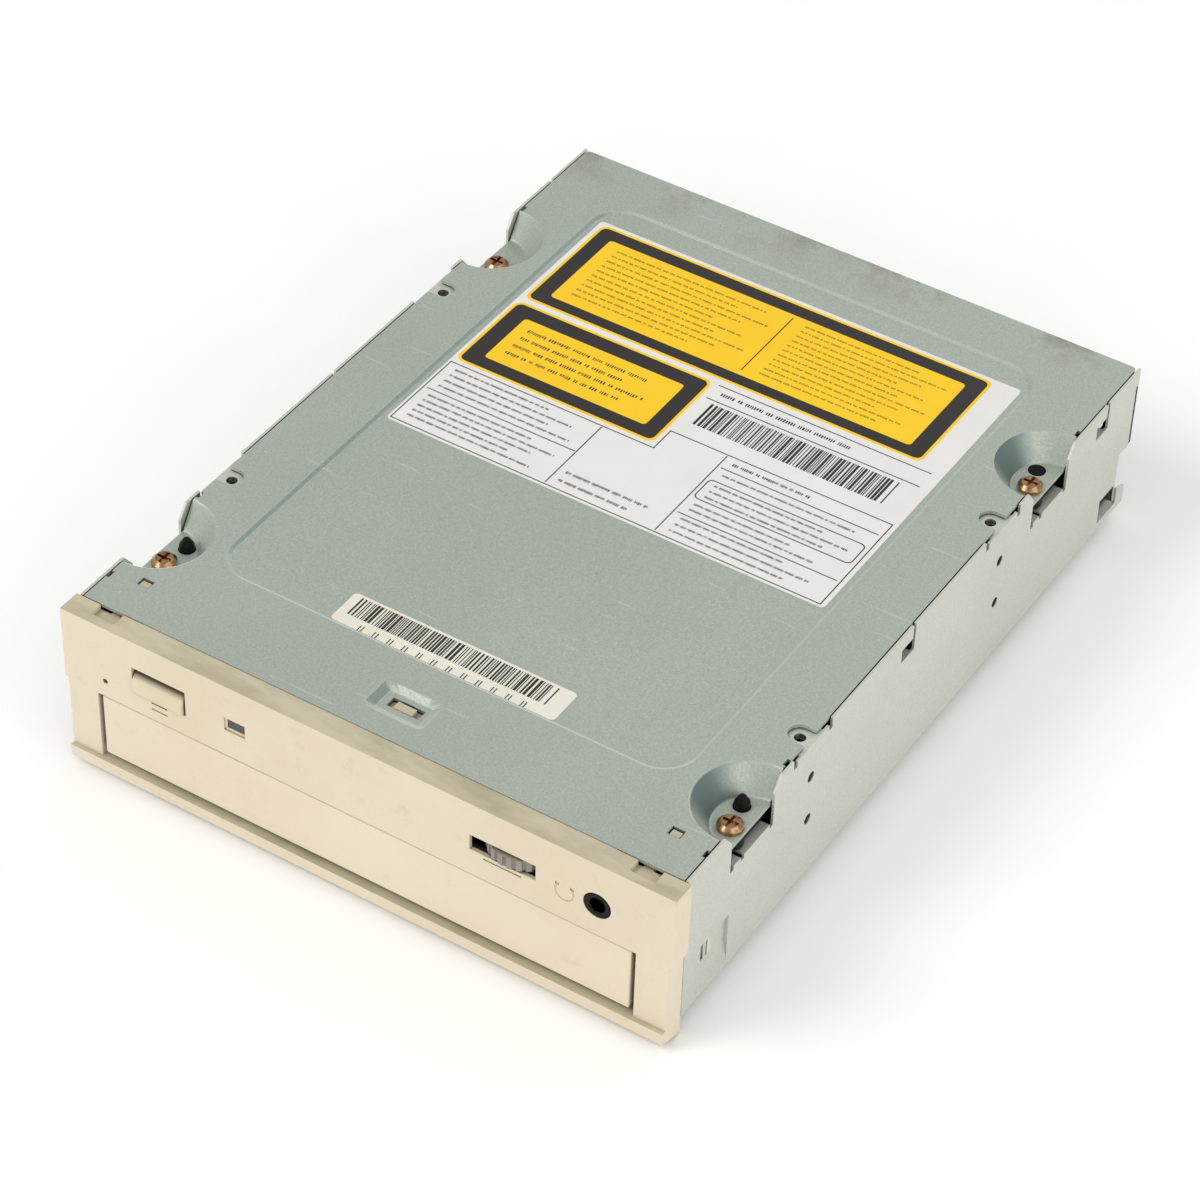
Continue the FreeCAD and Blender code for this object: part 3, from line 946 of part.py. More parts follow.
def eject_switch():
    part = Piece("eject_switch")
    part.box(("button_x - switch_half", "button_x + switch_half"), ("switch_front", "switch_rear"),
             ("-switch_low_drop", "-board_drop - board_thick"))
    part.cut_box(("button_x - plunger_half - plunger_play", "button_x + plunger_half + plunger_play"),
                 ("switch_front - over", "switch_front + plunger_in + button_travel"),
                 ("-stem_drop - plunger_half - plunger_play", "-stem_drop + plunger_half + plunger_play"))
    plunger = Piece("switch_plunger")
    plunger.box(("button_x - plunger_half", "button_x + plunger_half"),
                ("plunger_tip_y", "switch_front + plunger_in"),
                ("-stem_drop - plunger_half", "-stem_drop + plunger_half"))


def lamp():
    pane = Piece("lamp_window")
    pane.box(("lamp_x - lamp_half + pane_play", "lamp_x + lamp_half - pane_play"),
             ("-bezel_thick + lamp_rim_deep + hair", "-bezel_thick + bezel_wall + near"),
             ("-lamp_low_drop + pane_play", "-lamp_top_drop - pane_play"))
    pane.box(("lamp_x - lamp_half - pane_lip", "lamp_x + lamp_half + pane_lip"),
             ("-bezel_thick + bezel_wall", "-pane_back"),
             ("-lamp_low_drop - pane_lip", "-lamp_top_drop + pane_lip"))
    centre = "-(lamp_top_drop + lamp_low_drop) / 2"
    led = Piece("status_lamp")
    led.rod("y", ("lamp_x", centre), ("-pane_back + root", "led_rear - over"), "led_r")
    led.rod("y", ("lamp_x", centre), ("led_rear - 2 * over", "led_rear - over"), "led_rim_r")
    for side in ("-", "+"):
        x = "lamp_x %s led_leg_x / 2" % side
        led.box(("%s - leg_half" % x, "%s + leg_half" % x),
                ("led_rear - over - root", "led_leg_y + leg_half"),
                ("%s - leg_half" % centre, "%s + leg_half" % centre))
        led.box(("%s - leg_half" % x, "%s + leg_half" % x),
                ("led_leg_y - leg_half", "led_leg_y + leg_half"),
                ("%s - leg_half" % centre, "-board_drop - board_thick"))


def volume_control():
    pot = Piece("volume_pot")
    pot.box(("wheel_x - pot_half", "wheel_x + pot_half"), ("wheel_y - pot_half", "wheel_y + pot_half"),
            ("-pot_drop", "-board_drop - board_thick"))
    pot.rod("z", ("wheel_x", "wheel_y"), ("-wheel_low_drop + 2 * snug", "-pot_drop"),
            "wheel_bore_r - wheel_play")
    wheel = Piece("volume_wheel", at=("wheel_x", "wheel_y", "-wheel_low_drop"))
    wheel.rod("z", ("0", "0"), ("0", "wheel_low_drop - wheel_top_drop"), "wheel_r")
    wheel.cut_rod("z", ("0", "0"), ("-over", "wheel_low_drop"), "wheel_bore_r")
    wheel.cut_rod("z", ("0", "0"), ("wheel_low_drop - wheel_top_drop - root", "wheel_low_drop"),
                  "wheel_dish_r")
    for number in range(int(size("wheel_rib_count"))):
        turn = "(%d * 360deg / wheel_rib_count)" % number
        wheel.cut_rod("z", ("wheel_r * cos%s" % turn, "wheel_r * sin%s" % turn),
                      ("-over", "wheel_low_drop"), "wheel_groove_r")


def headphone_jack():
    part = Piece("headphone_jack")
    part.box(("jack_x - jack_half", "jack_x + jack_half"), ("-jack_front", "jack_rear"),
             ("-jack_low_drop", "-board_drop - board_thick"))
    part.rod("y", ("jack_x", "-jack_drop"), ("-bezel_thick", "0"), "jack_ring_r")
    part.cut_rod("y", ("jack_x", "-jack_drop"), ("-bezel_thick - over", "-bezel_thick + jack_bore_long"),
                 "jack_bore_r")


# Main board and connectors

def main_board():
    part = Piece("main_board")
    span = ("-board_drop - board_thick", "-board_drop")
    part.box(("-board_half", "board_half"), ("board_front", "board_rear"), span)
    through = ("-board_drop - board_thick - over", "-board_drop + over")
    part.cut_rod("z", ("motor_x", "gear_y"), through, "board_notch_r")
    for x in ("-board_screw_x", "board_screw_x"):
        for y in ("board_screw_front", "board_screw_rear"):
            part.cut_rod("z", (x, y), through, "board_hole_r")


def board_screws():
    screw = pan_screw("board_screw_head_r", "board_screw_head_tall", "board_screw_dome",
                      "screw_r", "board_screw_long", "board_cross_long", "board_cross_deep")
    places = [(side * size("board_screw_x"), size(y), -size("board_drop")) for side in (1, -1)
              for y in ("board_screw_front", "board_screw_rear")]
    copies("board_screws", screw, places)


def board_chips():
    low = -size("board_drop")
    high = low + size("chip_tall")
    chips = []
    for number in range(2):
        y = size("chip_y") + number * size("chip_pitch_y")
        for x, half in ((size("chip_x"), size("chip_half")),
                        (size("small_chip_x"), size("small_chip_half"))):
            chips.append(block((x - half, x + half), (y - half, y + half), (low, high)))
    shaped("board_chips", Part.makeCompound(chips))
    top = low - size("board_thick")
    caps = [cylinder(size("cap_x") + number * size("cap_pitch_x"), size("cap_y"),
                     top - size("cap_tall"), top, size("cap_r"))
            for number in range(int(size("cap_count")))]
    shaped("board_capacitors", Part.makeCompound(caps))


def socket(part, x, half, front, low_drop, wall, floor):
    """A shell open to the rear, hanging from the board."""
    top = "-board_drop - board_thick"
    part.box(("%s - %s" % (x, half), "%s + %s" % (x, half)), (front, "plug_rear"), ("-" + low_drop, top))
    part.cut_box(("%s - %s + %s" % (x, half, wall), "%s + %s - %s" % (x, half, wall)),
                 ("%s + %s" % (front, floor), "plug_rear + over"),
                 ("-%s + %s" % (low_drop, wall), "%s - %s" % (top, wall)))


def middle_drop(low_drop):
    """The height of a connector's middle, between the board and its lower face."""
    return -(size("board_drop") + size("board_thick") + size(low_drop)) / 2


def header_pins(x, columns, rows, pitch, low_drop, front, rear, half):
    """Square pins in columns and rows, standing out to the rear."""
    pins = []
    centre_z = middle_drop(low_drop)
    for column in range(columns):
        for row_number in range(rows):
            across = x + (column - (columns - 1) / 2) * pitch
            up = centre_z + (row_number - (rows - 1) / 2) * pitch
            pins.append(block((across - half, across + half), (front, rear), (up - half, up + half)))
    return pins


def data_connector():
    part = Piece("data_connector")
    socket(part, "data_x", "data_half", "data_front", "data_low_drop", "data_wall", "data_floor")
    part.cut_box(("data_x - key_half", "data_x + key_half"),
                 ("data_front + data_floor", "plug_rear + over"),
                 ("-data_low_drop - over", "-data_low_drop + data_wall + over"))
    floor = size("data_front") + size("data_floor")
    shaped("data_pins", Part.makeCompound(
        header_pins(size("data_x"), int(size("data_columns")), 2, size("pitch"),
                    "data_low_drop", floor, size("data_pin_rear"), size("header_pin_half"))))


def power_connector():
    part = Piece("power_connector")
    socket(part, "power_x", "power_half", "power_front", "power_low_drop", "power_wall", "power_floor")
    floor = size("power_front") + size("power_floor")
    centre_z = middle_drop("power_low_drop")
    pins = []
    for number in range(4):
        x = size("power_x") + (number - 1.5) * size("power_pitch")
        pins.append(Part.makeCylinder(size("power_pin_r"), size("power_pin_rear") - floor,
                                      FreeCAD.Vector(x, floor, centre_z), FreeCAD.Vector(0, 1, 0)))
    shaped("power_pins", Part.makeCompound(pins))


def audio_connector():
    part = Piece("audio_connector")
    socket(part, "audio_x", "audio_half", "audio_front", "audio_low_drop", "audio_wall", "audio_wall")
    floor = size("audio_front") + size("audio_wall")
    shaped("audio_pins", Part.makeCompound(
        header_pins(size("audio_x"), 4, 1, size("pitch"), "audio_low_drop", floor,
                    size("audio_pin_rear"), size("header_pin_half"))))


def jumper_block():
    part = Piece("jumper_block")
    top = "-board_drop - board_thick"
    part.box(("jumper_x - jumper_half", "jumper_x + jumper_half"),
             ("jumper_front", "jumper_front + jumper_base"), ("-jumper_low_drop", top))
    floor = size("jumper_front") + size("jumper_base")
    shaped("jumper_pins", Part.makeCompound(
        header_pins(size("jumper_x"), 3, 2, size("pitch"), "jumper_low_drop", floor,
                    size("jumper_pin_rear"), size("header_pin_half"))))
    cap = Piece("jumper_cap", at=("jumper_x - pitch", "jumper_front + jumper_base + near",
                                  "-(board_drop + board_thick + jumper_low_drop) / 2"))
    reach = "header_pin_half + jumper_cap_wall"
    cap.box(("-(%s)" % reach, reach), ("0", "jumper_cap_long + 2 * near"),
            ("-pitch / 2 - %s" % reach, "pitch / 2 + %s" % reach))
    slot = "header_pin_half + pin_slack"
    for row_number in ("-", ""):
        up = "%spitch / 2" % row_number
        cap.cut_box(("-(%s)" % slot, slot), ("-over", "jumper_cap_long"),
                    ("%s - (%s)" % (up, slot), "%s + %s" % (up, slot)))


# Chassis frame

def chassis_frame():
    part = Piece("chassis_frame")
    deck = ("-deck_drop - deck_thick", "-deck_drop")
    part.box(("-frame_half", "frame_half"), ("deck_front", "deck_rear"), deck)
    for side in (1, -1):
        part.cut_box(both(side, "frame_half - corner_room", "frame_half + over"),
                     ("deck_front - over", "emboss_rear + wall + 2 * near"),
                     ("-deck_drop - corner_deep", "-deck_drop + over"))
    part.cut_box(("-well_left", "well_right"), ("well_front", "well_rear"),
                 ("-deck_drop - deck_thick - over", "-deck_drop + over"))
    for side in (1, -1):
        walls(part, side)
        shelves(part, side)
        pivot_bracket(part, side)
        bridge_screw_holes(part, side)
    part.box(("-frame_half", "frame_half"), ("rear_wall_front", "frame_rear"),
             ("-frame_low_drop", "-rear_wall_top"))
    frame_clearances(part)
    motor_cup(part)
    gear_posts(part)
    board_posts(part)
    slider_hooks(part)
    part.rod("z", ("stud_x", "stud_y"), ("-shelf_drop", "-dish_deep"), "stud_r")


def walls(part, side):
    """Side walls with the two ledges that the tray's edge runs between."""
    part.box(both(side, "frame_half - frame_wall", "frame_half"),
             ("front_wall_end - wall_joint", "frame_rear"),
             ("-frame_low_drop", "-frame_top_drop"))
    part.box(both(side, "front_wall_half - frame_wall", "front_wall_half"),
             ("frame_front", "front_wall_end"),
             ("-frame_low_drop", "-frame_top_drop"))
    part.box(both(side, "front_wall_half - frame_wall", "frame_half"),
             ("front_wall_end - wall_joint", "front_wall_end"), ("-frame_low_drop", "-frame_top_drop"))
    reach = both(side, "ledge_half", "frame_half - frame_wall / 2")
    front = both(side, "ledge_half", "front_wall_half - frame_wall / 2")
    for level in (("-tray_top_drop + tray_play", "-tray_top_drop + tray_play + ledge_thick"),
                  ("-tray_low_drop - tray_play - ledge_thick", "-tray_low_drop - tray_play")):
        part.box(front, ("ledge_front", "front_wall_end"), level)
        part.box(reach, ("front_wall_end - over", "ledge_rear"), level)


def shelves(part, side):
    """A shelf under each dish, with the screw's boss; the front one has the locating pin."""
    for y, screw in (("dish_y", "screw_y"), ("rear_dish_y", "rear_screw_y")):
        span = ("%s - shelf_half_y" % y, "%s + shelf_half_y" % y)
        part.box(both(side, "shelf_inner", "shelf_side"), span,
                 ("-shelf_drop - shelf_thick", "-shelf_drop"))
        part.box(both(side, "shelf_inner", "shelf_support"), span,
                 ("-deck_drop", "-shelf_drop - shelf_thick"))
        centre = (signed(side, "screw_x"), screw)
        part.rod("z", centre, ("-shelf_drop - shelf_thick", "-dish_deep - sheet"), "boss_r")
        part.cut_rod("z", centre, ("-dish_deep - screw_long - over", "-dish_deep"), "screw_r + screw_play")
    pin = (signed(side, "pin_x"), "pin_y")
    part.rod("z", pin, ("-shelf_drop", "-pin_shoulder_drop"), "pin_r")
    part.cone("z", pin, ("-pin_shoulder_drop", "-pin_tip_drop"), "pin_r", "pin_tip_r")


def bridge_screw_holes(part, side):
    part.cut_rod("z", (signed(side, "bridge_screw_x"), "disc_y + bridge_screw_y"),
                 ("-bridge_drop - over", "-tray_low_drop - tray_play"), "bridge_screw_r + screw_play / 2")


def pivot_bracket(part, side):
    inner = "well_right" if side > 0 else "well_left"
    part.box(both(side, "%s + bracket_gap" % inner, "%s + bracket_gap + bracket_thick" % inner),
             ("pivot_y - bracket_half_y", "pivot_y + bracket_half_y"),
             ("-bracket_low", "-frame_top_drop + over"))
    part.cut_rod("x", ("pivot_y", "-pivot_drop"),
                 both(side, "%s - over" % inner, "%s + bracket_gap + bracket_thick + over" % inner),
                 "pivot_r + pivot_play")


def frame_clearances(part):
    """Room for the case's rear tabs and for the screws of the lower side holes."""
    for side in (1, -1):
        part.cut_box(both(side, "case_half - wall - tab_reach - tab_play", "case_half"),
                     ("tab_front_y - tab_play", "frame_rear + over"),
                     ("-frame_low_drop - over", "-tab_drop + tab_play + 2 * snug"))
        part.box(both(side, "frame_half - frame_wall - post_reach", "case_half - wall - snug"),
                 ("rear_wall_front", "case_rear - hair"), ("-rear_cut_top - root", "-post_top_drop"))
        part.box(both(side, "case_half - wall - root", "case_half - hair"),
                 ("case_rear - post_gap_y + snug", "case_rear - hair"),
                 ("-rear_cut_top + snug", "-post_top_drop - snug"))
        for y in ("first_hole_y", "rear_hole_y"):
            part.cut_rod("x", (y, "-lower_hole_drop"),
                         both(side, "frame_half - frame_wall - over", "frame_half + over"),
                         "screw_room_r")


def motor_cup(part):
    centre = ("motor_x", "gear_y")
    top = "-motor_top_drop - motor_tall"
    part.rod("z", centre, ("%s - cup_floor" % top, "-deck_drop + 2 * over"),
             "motor_r + cup_play + cup_wall")
    part.cut_rod("z", centre, (top, "-deck_drop + 3 * over"), "motor_r + cup_play")
    part.cut_rod("z", centre, ("%s - cup_floor - over" % top, "%s + over" % top), "cup_hole_r")


def gear_posts(part):
    part.rod("z", ("tray_gear_x", "gear_y"), ("-gear_tip_drop", "-deck_drop - root"), "post_r")
    part.rod("z", ("pulley_x", "gear_y"), ("-stage_low_drop", "-deck_drop - root"), "post_r")


def board_posts(part):
    for x in ("-board_screw_x", "board_screw_x"):
        for y in ("board_screw_front", "board_screw_rear"):
            part.rod("z", (x, y), ("-deck_drop - over", "-board_drop - board_thick"), "board_post_r")
            part.cut_rod("z", (x, y), ("-board_drop - board_screw_long - over", "-board_drop"),
                         "screw_r + screw_play")


def slider_hooks(part):
    """Two hooks that hold the cam slider down on the deck."""
    for side in (1, -1):
        x = both(side, "rail_hook_x", "rail_hook_x + rail_hook_wide")
        part.box(x, ("cam_front - hook_reach", "cam_front - near"),
                 ("-deck_drop - root", "-cam_top_drop + hook_tall"))
        part.box(x, ("cam_front - hook_reach", "cam_front + hook_reach"),
                 ("-cam_top_drop + near", "-cam_top_drop + hook_tall"))


# Tray and its drive

def disc_tray():
    part = Piece("tray_plate", kept=False)
    part.box(("-tray_half", "tray_half"), ("-bezel_thick + fascia_deep", "tray_rear"),
             ("-tray_low_drop", "-tray_top_drop"))
    centre = ("0", "disc_y")
    part.cut_rod("z", centre, ("-tray_low_drop - over", "-disc_seat_drop"), "disc_seat_r")
    part.cut_rod("z", centre, ("-tray_low_drop - over", "-small_seat_drop"), "small_seat_r")
    through = ("-tray_low_drop - over", "-tray_top_drop + over")
    part.cut_rod("z", centre, through, "tray_slot_half")
    part.cut_box(("-tray_slot_half", "tray_slot_half"), ("disc_y", "tray_rear + over"), through)
    part.cut_rod("z", ("0", "finger_y"), ("-tray_low_drop - over", "-disc_seat_drop"), "finger_r")
    part.box(("tray_rib_x", "tray_rib_x + tray_rib_thick"), ("rack_front", "rack_end"),
             ("-tray_top_drop - root", "-tray_rib_drop"))
    flat = part.assemble()
    document.recompute()
    plate = flat.Shape
    pitch_x = size("tray_gear_x") - size("rack_module") * size("tray_gear_teeth") / 2
    rack = rack_bar(size("rack_module"), pitch_x, size("rack_back"),
                    (size("rack_front"), size("rack_end")),
                    (-size("tray_top_drop + root"), -size("rack_top_drop")), size("gear_y"))
    shaped("disc_tray", plate.fuse(rack))


def tray_gear():
    x, y = size("tray_gear_x"), size("gear_y")
    small = gear_disc(size("rack_module"), int(size("tray_gear_teeth")), x, y,
                      -size("gear_low_drop"), -size("stage_low_drop"), 180)
    large = gear_disc(size("stage_module"), int(size("stage_gear_teeth")), x, y,
                      -size("stage_low_drop"), -size("stage_top_drop"), 0)
    hub = cylinder(x, y, -size("stage_top_drop"), -size("deck_drop + deck_thick + near"),
                   size("gear_hub_r"))
    bore = cylinder(x, y, -size("gear_low_drop + over"), -size("deck_drop"),
                    size("post_r") + size("post_play"))
    shaped("tray_gear", small.fuse(large).fuse(hub).cut(bore).removeSplitter())


def grooved_pulley(x, y, radius):
    """A pulley with two rims, between which the belt runs."""
    low, high = -size("pulley_low_drop"), -size("pulley_top_drop")
    rim = radius + size("flange_over")
    body = cylinder(x, y, low, high, rim)
    middle = -size("belt_drop")
    half = size("belt_half + groove_play")
    groove = cylinder(x, y, middle - half, middle + half, rim + size("over")).cut(
        cylinder(x, y, middle - half, middle + half, radius))
    return body.cut(groove)


def pulley_gear():
    x, y = size("pulley_x"), size("gear_y")
    teeth = int(size("stage_pinion_teeth"))
    pinion = gear_disc(size("stage_module"), teeth, x, y, -size("stage_low_drop - snug"),
                       -size("pulley_low_drop"), 180 + 180 / teeth)
    hub = cylinder(x, y, -size("pulley_top_drop"), -size("deck_drop + deck_thick + near"),
                   size("gear_hub_r"))
    bore = cylinder(x, y, -size("stage_low_drop + over"), -size("deck_drop"),
                    size("post_r") + size("post_play"))
    pulley = grooved_pulley(x, y, size("pulley_r"))
    shaped("pulley_gear", pinion.fuse(pulley).fuse(hub).cut(bore).removeSplitter())


def motor_pulley():
    x, y = size("motor_x"), size("gear_y")
    bore = cylinder(x, y, -size("pulley_low_drop + over"), 0, size("motor_shaft_r + shaft_play"))
    shaped("motor_pulley", grooved_pulley(x, y, size("motor_pulley_r")).cut(bore))


def tray_motor():
    part = Piece("tray_motor")
    centre = ("motor_x", "gear_y")
    low = "-motor_top_drop - motor_tall"
    part.rod("z", centre, (low, "-motor_top_drop"), "motor_r")
    part.rod("z", centre, ("%s - motor_boss_tall" % low, low), "motor_boss_r")
    part.rod("z", centre, ("-pulley_low_drop - 2 * snug", low), "motor_shaft_r")


def drive_belt():
    """A round-cornered square belt round both pulleys, a hair clear of them."""
    left, right = size("pulley_x"), size("motor_x")
    y = size("gear_y")
    span = size("belt_span")
    inner = [size("pulley_r") + size("belt_gap"), size("motor_pulley_r") + size("belt_gap")]
    low, high = -size("belt_drop") - size("belt_half"), -size("belt_drop") + size("belt_half")

    def loop(grow):
        big, small = inner[0] + grow, inner[1] + grow
        tilt = math.asin((big - small) / span)
        away = [FreeCAD.Vector(math.sin(tilt), way * math.cos(tilt), 0) for way in (1, -1)]
        centres = FreeCAD.Vector(left, y, low), FreeCAD.Vector(right, y, low)
        tops = centres[0] + away[0] * big, centres[1] + away[0] * small
        feet = centres[0] + away[1] * big, centres[1] + away[1] * small
        far_left = centres[0] - FreeCAD.Vector(big, 0, 0)
        far_right = centres[1] + FreeCAD.Vector(small, 0, 0)
        edges = [Part.LineSegment(tops[0], tops[1]), Part.Arc(tops[1], far_right, feet[1]),
                 Part.LineSegment(feet[1], feet[0]), Part.Arc(feet[0], far_left, tops[0])]
        return Part.Face(Part.Wire([edge.toShape() for edge in edges]))

    ring = loop(2 * size("belt_half")).cut(loop(0))
    shaped("drive_belt", ring.extrude(FreeCAD.Vector(0, 0, high - low)))


# Cam slider, lift frame and traverse

def cam_slider():
    part = Piece("cam_slider")
    part.box(("-cam_half", "cam_half"), ("cam_front", "cam_rear"),
             ("-deck_drop + cam_gap", "-cam_top_drop"))
    web = ("cam_rear - cam_web", "cam_rear")
    part.box(("-cam_half", "cam_half"), web, ("-cam_web_low", "-cam_web_top"))
    for x in ("-cam_pin_x", "cam_pin_x"):
        rise = "cam_rise * cam_slot_over / cam_travel"
        right, left = "%s + cam_slot_over" % x, "%s - cam_travel - cam_slot_over" % x
        low, high = "-pivot_drop - %s" % rise, "-pivot_drop + cam_rise + %s" % rise
        play = "(cam_slot_half + post_play)"
        part.outline("xz", [(right, "%s - %s" % (low, play)), (right, "%s + %s" % (low, play)),
                            (left, "%s + %s" % (high, play)), (left, "%s - %s" % (high, play))],
                     ("cam_rear - cam_web - over", "cam_rear + over"), "cut")


def lift_frame():
    part = Piece("lift_frame")
    top = "-lift_low_drop + lift_thick"
    part.box(("-lift_left", "lift_right"), ("lift_front", "lift_rear"), ("-lift_low_drop", top))
    through = ("-lift_low_drop - over", "%s + over" % top)
    part.cut_box(("-lift_open_half", "lift_open_half"), ("lift_open_front", "lift_open_rear"), through)
    part.cut_rod("z", ("pinion_x", "pinion_y"), through, "sled_motor_r + motor_room")
    for side, edge in ((1, "lift_right"), (-1, "lift_left")):
        part.rod("x", ("pivot_y", "-pivot_drop"),
                 both(side, "%s - over" % edge, "%s + bracket_gap + pivot_root + pivot_long" % edge),
                 "pivot_r")
    for x in ("-cam_pin_x", "cam_pin_x"):
        part.rod("y", (x, "-pivot_drop"), ("cam_rear - cam_web - snug", "lift_front + over"), "cam_pin_r")
    for x in ("damper_left", "damper_right"):
        for y in ("damper_front", "damper_rear"):
            part.cut_rod("z", (x, y),
                         ("-lift_low_drop - over", "-damper_low_drop + damper_screw_long + root"),
                         "screw_r + screw_play")


def dampers():
    master = Piece("damper_pattern", kept=False)
    groove = ("-plate_low_drop - damper_play", "-plate_low_drop + plate_thick + damper_play")
    master.rod("z", ("0", "0"), ("-damper_low_drop", groove[0]), "damper_r")
    master.rod("z", ("0", "0"), ("-damper_low_drop", "-lift_low_drop"), "damper_neck_r")
    master.rod("z", ("0", "0"), (groove[1], "-lift_low_drop"), "damper_r")
    master.cut_rod("z", ("0", "0"), ("-damper_low_drop - over", "0"), "screw_r + damper_play")
    places = [(size(x), size(y), 0) for x in ("damper_left", "damper_right")
              for y in ("damper_front", "damper_rear")]
    copies("rubber_dampers", master, places)
    screw = Piece("damper_screw_pattern", kept=False)
    screw.rod("z", ("0", "0"), ("-damper_low_drop - damper_screw_head_tall", "-damper_low_drop"),
              "damper_screw_head_r")
    screw.rod("z", ("0", "0"), ("-damper_low_drop", "-damper_low_drop + damper_screw_long"), "screw_r")
    for x, y in (("damper_cross", "cross_wide / 2"), ("cross_wide / 2", "damper_cross")):
        screw.cut_box(("-(%s)" % x, x), ("-(%s)" % y, y),
                      ("-damper_low_drop - damper_screw_head_tall - over",
                       "-damper_low_drop - damper_screw_head_tall + small_cross_deep"))
    copies("damper_screws", screw, places)


def traverse_plate():
    part = Piece("traverse_plate")
    span = ("-plate_low_drop", "-plate_low_drop + plate_thick")
    through = ("-plate_low_drop - over", "-plate_low_drop + plate_thick + over")
    part.box(("-plate_left", "plate_right"), ("plate_front", "plate_rear"), span)
    part.cut_box(("-sled_window_left", "sled_window_right"), ("sled_window_front", "sled_window_rear"),
                 through)
    for x in ("damper_left", "damper_right"):
        for y in ("damper_front", "damper_rear"):
            part.cut_rod("z", (x, y), through, "damper_neck_r + damper_play")
    part.cut_rod("z", ("pinion_x", "pinion_y"), through, "sled_shaft_r + shaft_room")
    part.rod("z", ("sled_gear_x", "sled_gear_y"), ("-sled_post_drop", "-plate_low_drop + plate_thick / 2"),
             "sled_post_r")


def guide_rods():
    front, rear = size("rod_front"), size("rod_rear")
    rods = [rod_along_y(x, front, rear, size("rod_r")) for x in (size("rod_left"), size("rod_right"))]
    shaped("guide_rods", Part.makeCompound(rods))
    low, high = -size("holder_low_drop"), -size("plate_low_drop")
    half, deep, wall = size("holder_half"), size("holder_long"), size("holder_wall")
    holders = []
    for x in (size("rod_left"), size("rod_right")):
        bore = rod_along_y(x, front, rear, size("rod_r + rod_hold"))
        for y in (front - wall, rear + wall - deep):
            holders.append(block((x - half, x + half), (y, y + deep), (low, high)).cut(bore))
    shaped("rod_holders", Part.makeCompound(holders))


def rod_along_y(x, front, rear, radius):
    """A round bar at the rods' height, between two places along the drive."""
    start = FreeCAD.Vector(x, front, -size("rod_drop"))
    return Part.makeCylinder(radius, rear - front, start, FreeCAD.Vector(0, 1, 0))


def spindle():
    motor = Piece("spindle_motor")
    centre = ("0", "disc_y")
    motor.rod("z", centre, ("-spindle_step_drop", "-plate_low_drop"), "spindle_r")
    motor.rod("z", centre, ("-spindle_low_drop", "-spindle_step_drop"), "spindle_rotor_r")
    motor.rod("z", centre, ("-hub_drop + shaft_room", "-spindle_low_drop"), "spindle_shaft_r")
    table = Piece("turntable")
    table.rod("z", centre, ("-disc_plane + pad_thick", "-turntable_top_drop"), "turntable_r")
    table.rod("z", centre, ("-disc_plane - hub_straight", "-disc_plane + pad_thick + root"), "hub_r")
    table.cone("z", centre, ("-hub_drop", "-disc_plane - hub_straight"), "hub_tip_r", "hub_r")
    table.cut_rod("z", centre, ("-hub_drop - over", "0"), "spindle_shaft_r + shaft_play")
    pad = Piece("turntable_pad")
    pad.rod("z", centre, ("-disc_plane", "-disc_plane + pad_thick"), "turntable_r - near")
    pad.cut_rod("z", centre, ("-disc_plane - over", "0"), "pad_in_r")


def clamper_set():
    part = Piece("clamper")
    centre = ("0", "disc_y")
    flange_top = "-bridge_drop - bridge_sheet - clamper_gap"
    part.rod("z", centre, ("-clamper_low_drop", flange_top), "clamper_r")
    part.rod("z", centre, ("%s - root" % flange_top, "-clamper_face_drop"), "clamper_neck_r")
    part.cut_rod("z", centre, ("-clamper_face_drop - clamper_cup_deep", "-clamper_face_drop + over"),
                 "clamper_cup_r")
    part.cut_rod("z", centre, ("-clamper_low_drop - over", "-clamper_low_drop + magnet_tall"),
                 "magnet_r + magnet_play")
    magnet = Piece("clamper_magnet")
    magnet.rod("z", centre, ("-clamper_low_drop", "-clamper_low_drop + magnet_tall"), "magnet_r")
    magnet.cut_rod("z", centre, ("-clamper_low_drop - over", "0"), "magnet_r / 3")
    bridge = Piece("clamper_bridge")
    level = ("-bridge_drop - bridge_sheet", "-bridge_drop")
    bridge.box(("-bridge_half", "bridge_half"), ("bridge_front", "bridge_rear"), level)
    bridge.cut_rod("z", centre, ("-bridge_drop - bridge_sheet - over", "0"), "bridge_hole_r")
    for y in ("bridge_front", "bridge_rear - bridge_sheet"):
        bridge.box(("-ledge_half + 2 * over", "ledge_half - 2 * over"), (y, "%s + bridge_sheet" % y),
                   ("-bridge_drop - bridge_flange", "-bridge_drop - bridge_sheet / 2"))
    for side in (1, -1):
        bridge.cut_rod("z", (signed(side, "bridge_screw_x"), "disc_y + bridge_screw_y"),
                       ("-bridge_drop - bridge_sheet - over", "0"), "bridge_screw_r + screw_play")
    bridge_screws()


def bridge_screws():
    master = Piece("bridge_screw_pattern", kept=False)
    master.rod("z", ("0", "0"), ("-bridge_screw_head_tall", "0"), "bridge_screw_head_r")
    master.rod("z", ("0", "0"), ("0", "bridge_screw_long"), "bridge_screw_r")
    for x, y in (("bridge_cross", "cross_wide / 2"), ("cross_wide / 2", "bridge_cross")):
        master.cut_box(("-(%s)" % x, x), ("-(%s)" % y, y),
                       ("-bridge_screw_head_tall - over", "-bridge_screw_head_tall + small_cross_deep"))
    level = -size("bridge_drop") - size("bridge_sheet")
    y = size("disc_y") + size("bridge_screw_y")
    copies("bridge_screws", master, [(side * size("bridge_screw_x"), y, level) for side in (1, -1)])


